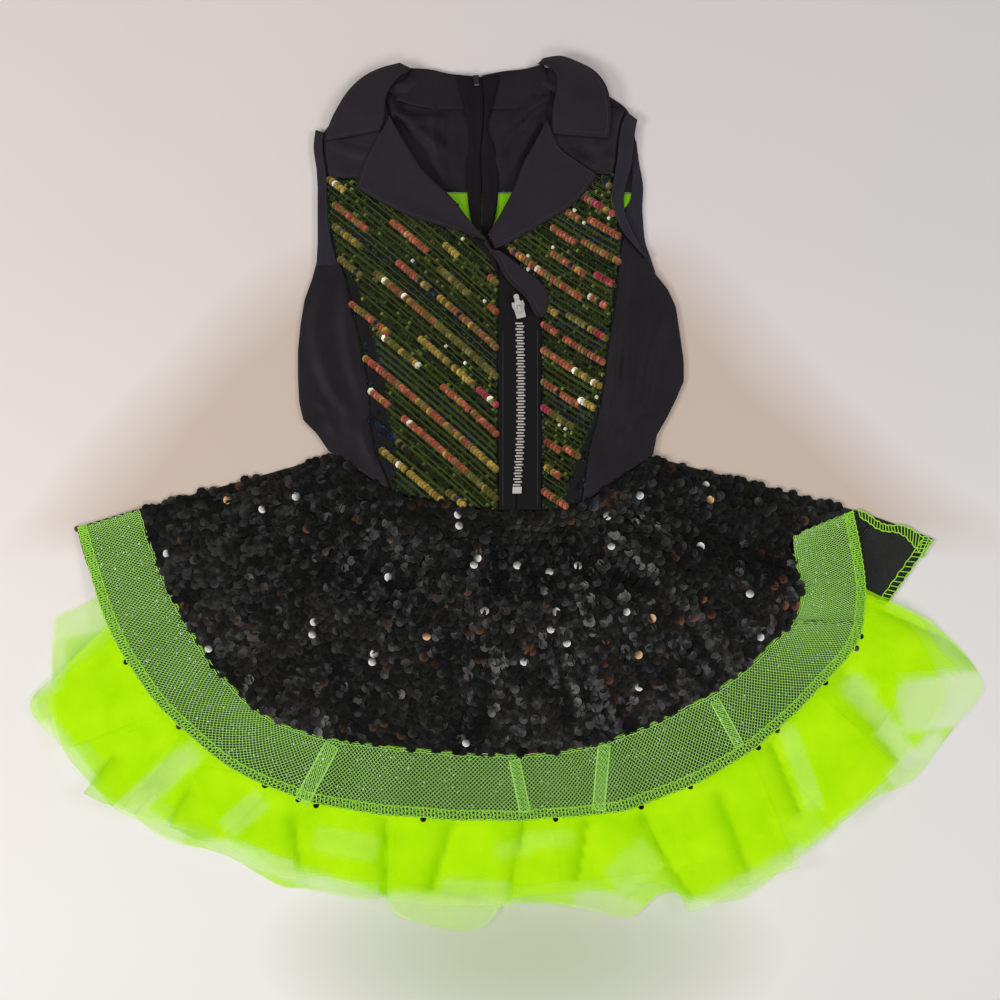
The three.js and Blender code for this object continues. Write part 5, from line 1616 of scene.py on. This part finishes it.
# Black sequins that show below the overlocked hem, at these shares of its length
PEEPING = (
    0.004, 0.17, 0.24, 0.31, 0.333, 0.345, 0.43, 0.53, 0.6, 0.64, 0.7, 0.72, 0.775, 0.82, 0.835,
)


def peeping_paillettes():
    u = np.array(PEEPING)
    x, y = band_plan(u, 1.02 + 0.012 * np.sin(u * 95))
    paillettes("peeping_paillettes", x, y, lambda x, y: skirt_low(x, y) - 2.4, 31, 2.3, 0.3)


horsehair()
band_pleats()
band_seam()
overlock("hem_overlock", over_band, 0.001, 0.999, 1050, 48, "horsehair_band")
overlock("back_hem_overlock", over_back_hem, 0.78, 0.885, 85, 48, "horsehair_band")
corner_overlock()
glitter()
peeping_paillettes()


# Front zip

ZIP_LINE = table("x y", (8.2, 176), (8.8, 138), (10, 90), (10, 49), (9, 27), (7, -1), (6.6, -15))
TOOTH_PITCH = 2.15


def zip_x(y):
    return np.interp(y, ZIP_LINE["y"][::-1], ZIP_LINE["x"][::-1])


def zip_tape(name, top, left, right):
    u, v = np.meshgrid(spaced(10, 0.03), spaced(60, 0.003))
    y = mix(top, -14.6, v)
    x = mix(left(y), right(y), u)
    lay_sheet(name, x, y, front_low(x, y), CLOTH, ZIP_TAPE, "zip_tape", [name])


zip_tape("zip_tape_left", 171, lambda y: 0 * y - 6.7, lambda y: zip_x(y) - 0.1)
zip_tape("zip_tape_right", 152, lambda y: zip_x(y) + 0.1, lambda y: 0 * y + 25.7)


def blocks(centres, sizes, angles, chamfer=0.25):
    """Small closed blocks with chamfered tops, each with its own size and angle."""
    count = len(centres)
    corners = np.array([(-1, -1), (1, -1), (1, 1), (-1, 1)])
    levels = ((0, 1), (1 - chamfer, 1), (1, 1 - chamfer))
    cosine, sine = np.cos(angles)[:, None], np.sin(angles)[:, None]
    rings = []
    for height, width in levels:
        plan = corners[None] * sizes[:, None, :2] / 2 * width
        x, y = plan[..., 0], plan[..., 1]
        z = np.repeat(sizes[:, 2:3] * height, 4, 1)
        turned = np.stack([x * cosine - y * sine, x * sine + y * cosine, z], -1)
        rings.append(turned + centres[:, None])
    points = np.concatenate(rings, axis=1)
    faces = [(3, 2, 1, 0), (8, 9, 10, 11)]
    for ring in (0, 4):
        for a, b in ((0, 1), (1, 2), (2, 3), (3, 0)):
            faces.append((ring + a, ring + b, ring + 4 + b, ring + 4 + a))
    return points.reshape(-1, 3), repeated(np.array(faces), count, 12)


def zip_teeth():
    y = np.arange(4.5, 127, TOOTH_PITCH)
    side = np.where(np.arange(len(y)) % 2, 1, -1)
    x = zip_x(y) + side * 0.5
    centres = np.stack([x, y, front_low(x, y) + 0.4], 1)
    sizes = np.tile((5.6, 1.25, 2.6), (len(y), 1))
    piece = make_piece("zip_teeth", *blocks(centres, sizes, 0 * y), NICKEL, False)
    settle(piece, "zip_metal", ["zip_chain"])


def back_zip_slider():
    place, size, angle = np.array([(-23.4, 306, 5.4)]), np.array([(4.2, 8, 2.4)]), np.array([0.1])
    piece = make_piece("back_zip_slider", *blocks(place, size, angle), BLACK_METAL, False)
    settle(piece, "zip_metal")


zip_teeth()
back_zip_slider()
for node in ("zip_stop", "zip_slider", "zip_pull"):
    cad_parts[node].data.materials.clear()
    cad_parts[node].data.materials.append(NICKEL)


# Stitching

def edge_stitch(name, low, thick, inset, side=1, v_from=0.02, v_to=0.98, **form):
    """A line of stitching inside one long edge of a flat piece."""
    v = np.linspace(v_from, v_to, 60)
    at = {key: follow(values, v, CORNERS.get(name, ())) for key, values in EDGES[name].items()}
    width = np.hypot(at["aX"] - at["bX"], at["aY"] - at["bY"])
    share = np.minimum(inset / width, 0.45)
    x, y, height = strip_surface(name, low, 1 - share if side == 1 else share, v, **form)
    return np.stack([x, y, height + thick], -1)


def end_stitch(name, low, thick, v_at, **form):
    u = np.linspace(0.08, 0.94, 60)
    x, y, height = strip_surface(name, low, u, 0 * u + v_at, **form)
    return np.stack([x, y, height + thick], -1)


def stitching():
    lines = []
    for side in SIDES:
        lines.append(edge_stitch("collar_" + side, over_front, LAPEL, 3.2, **COLLAR_FORM))
    for side in SIDES:
        lines.append(end_stitch("collar_" + side, over_front, LAPEL, 0.06, **COLLAR_FORM))
    for side in SIDES:
        lines.append(edge_stitch("lapel_" + side, over_front, LAPEL, 3.2, **LAPEL_FORM))
    for side in SIDES:
        for edge in (0, 1):
            lines.append(edge_stitch("armhole_binding_" + side, front_low, BINDING, 1.3, edge))
    for inset in (1.8, 4):
        lines.append(edge_stitch("lapel_tab", over_front, LAPEL, inset, 0, 0.05, 0.9, **TAB_FORM))
    threads("edge_stitching", lines, 0.55, 0.22, BLACK_THREAD, "lapel_cloth")


def tab_piping():
    """A cord covered in the lapel's cloth along the tab's inner edge."""
    v = np.linspace(0.01, 0.97, 70)
    x, y = follow(EDGES["lapel_tab"]["aX"], v) + 0.7, follow(EDGES["lapel_tab"]["aY"], v)
    cord = np.stack([x, y, over_front(x, y) + LAPEL - 0.5], -1)
    threads("tab_piping", [cord], 2.2, 1.3, CREPE, "lapel_cloth")


def tape_stitching():
    y = np.linspace(-12, 120, 60)
    lines = [np.stack([x, y, front_low(x, y) + CLOTH], -1) for x in (0 * y - 3.4, 0 * y + 22.4)]
    threads("tape_stitching", lines, 0.5, 0.2, BLACK_THREAD, "zip_tape")


stitching()
tab_piping()
tape_stitching()

# Surface and light

def floor_look():
    """A pale sheet, paler towards the bottom as painted light, with a painted brown shadow beside
    the bodice and a painted lime shadow below the net.
    """
    look = Look("pale_sheet")
    x, y, _ = look.split(look.place())
    soft = look.noise(260, detail=3)
    weave = look.noise(1.2, detail=2)
    from_left = x * 1.1 + soft * 0.3 + 0.35
    shade = look.colours(from_left, (0.1, srgb(229, 219, 215)), (0.9, srgb(222, 218, 220)))
    # Paler and more neutral towards the bottom: painted light.
    shade = look.blend((0.3 - y * 2 + weave * 0.1).clamp(), shade, srgb(239, 237, 235))
    # A painted brown shadow beside the bodice, and a painted lime shadow below the net.
    beside = (0.306 - x.math("ABSOLUTE", x + 0.008) - y) / 0.08 + soft
    painted_shadow = beside.clamp() * ((y + 0.05) / 0.03).clamp() * (1 - ((y - 0.17) / 0.03).clamp())
    painted_lime_shadow = (1 - ((x - 0.01) / 0.2) ** 2 - ((y + 0.345) / 0.085) ** 2).clamp()
    shade = look.blend(painted_shadow * 0.85, shade, srgb(201, 181, 164))
    shade = look.blend(painted_lime_shadow * 0.9, shade, srgb(187, 199, 165))
    look.set(Base_Color=shade, Roughness=0.9)
    return look.material


FLOOR_REACH = 3000


def make_floor():
    far = FLOOR_REACH
    corners = [(-far, -far, 0), (far, -far, 0), (far, far, 0), (-far, far, 0)]
    make_piece("floor", corners, [(0, 1, 2, 3)], floor_look())


# Lamps in metres and watts: place, what it points at, width, power and colour
LAMPS = {
    "left_light": ((-1.3, -0.25, 1.0), (0, 0, 0), 0.5, 11, (1, 0.98, 0.97)),
    "right_light": ((1.0, 0.12, 1.1), (0.1, 0.05, 0), 0.5, 5.2, (1, 0.99, 0.99)),
    "near_light": ((-0.1, -0.9, 1.3), (0, 0, 0), 0.7, 6, (1, 0.98, 0.96)),
    "far_light": ((-0.5, 1.1, 1.3), (-0.1, 0.3, 0), 0.7, 3.6, (1, 0.98, 0.97)),
}
ROOM_COLOUR = (1.0, 0.98, 0.96, 1)
ROOM_STRENGTH = 0.24


def area_light(name, place, aim, width, power, colour):
    data = bpy.data.lights.new(name, "AREA")
    data.shape = "DISK"
    data.size = width
    data.energy = power
    data.color = colour
    light = bpy.data.objects.new(name, data)
    light.location = place
    x, y, z = np.array(aim) - np.array(place)
    light.rotation_euler = (math.atan2(math.hypot(x, y), -z), 0, math.atan2(y, x) - math.pi / 2)
    bpy.context.collection.objects.link(light)


def make_light():
    world = bpy.data.worlds.new("room")
    world.use_nodes = True
    background = world.node_tree.nodes["Background"].inputs
    background["Color"].default_value = ROOM_COLOUR
    background["Strength"].default_value = ROOM_STRENGTH
    bpy.context.scene.world = world
    for name, lamp in LAMPS.items():
        area_light(name, *lamp)
    bpy.context.scene.view_settings.view_transform = "Standard"


make_floor()
make_light()
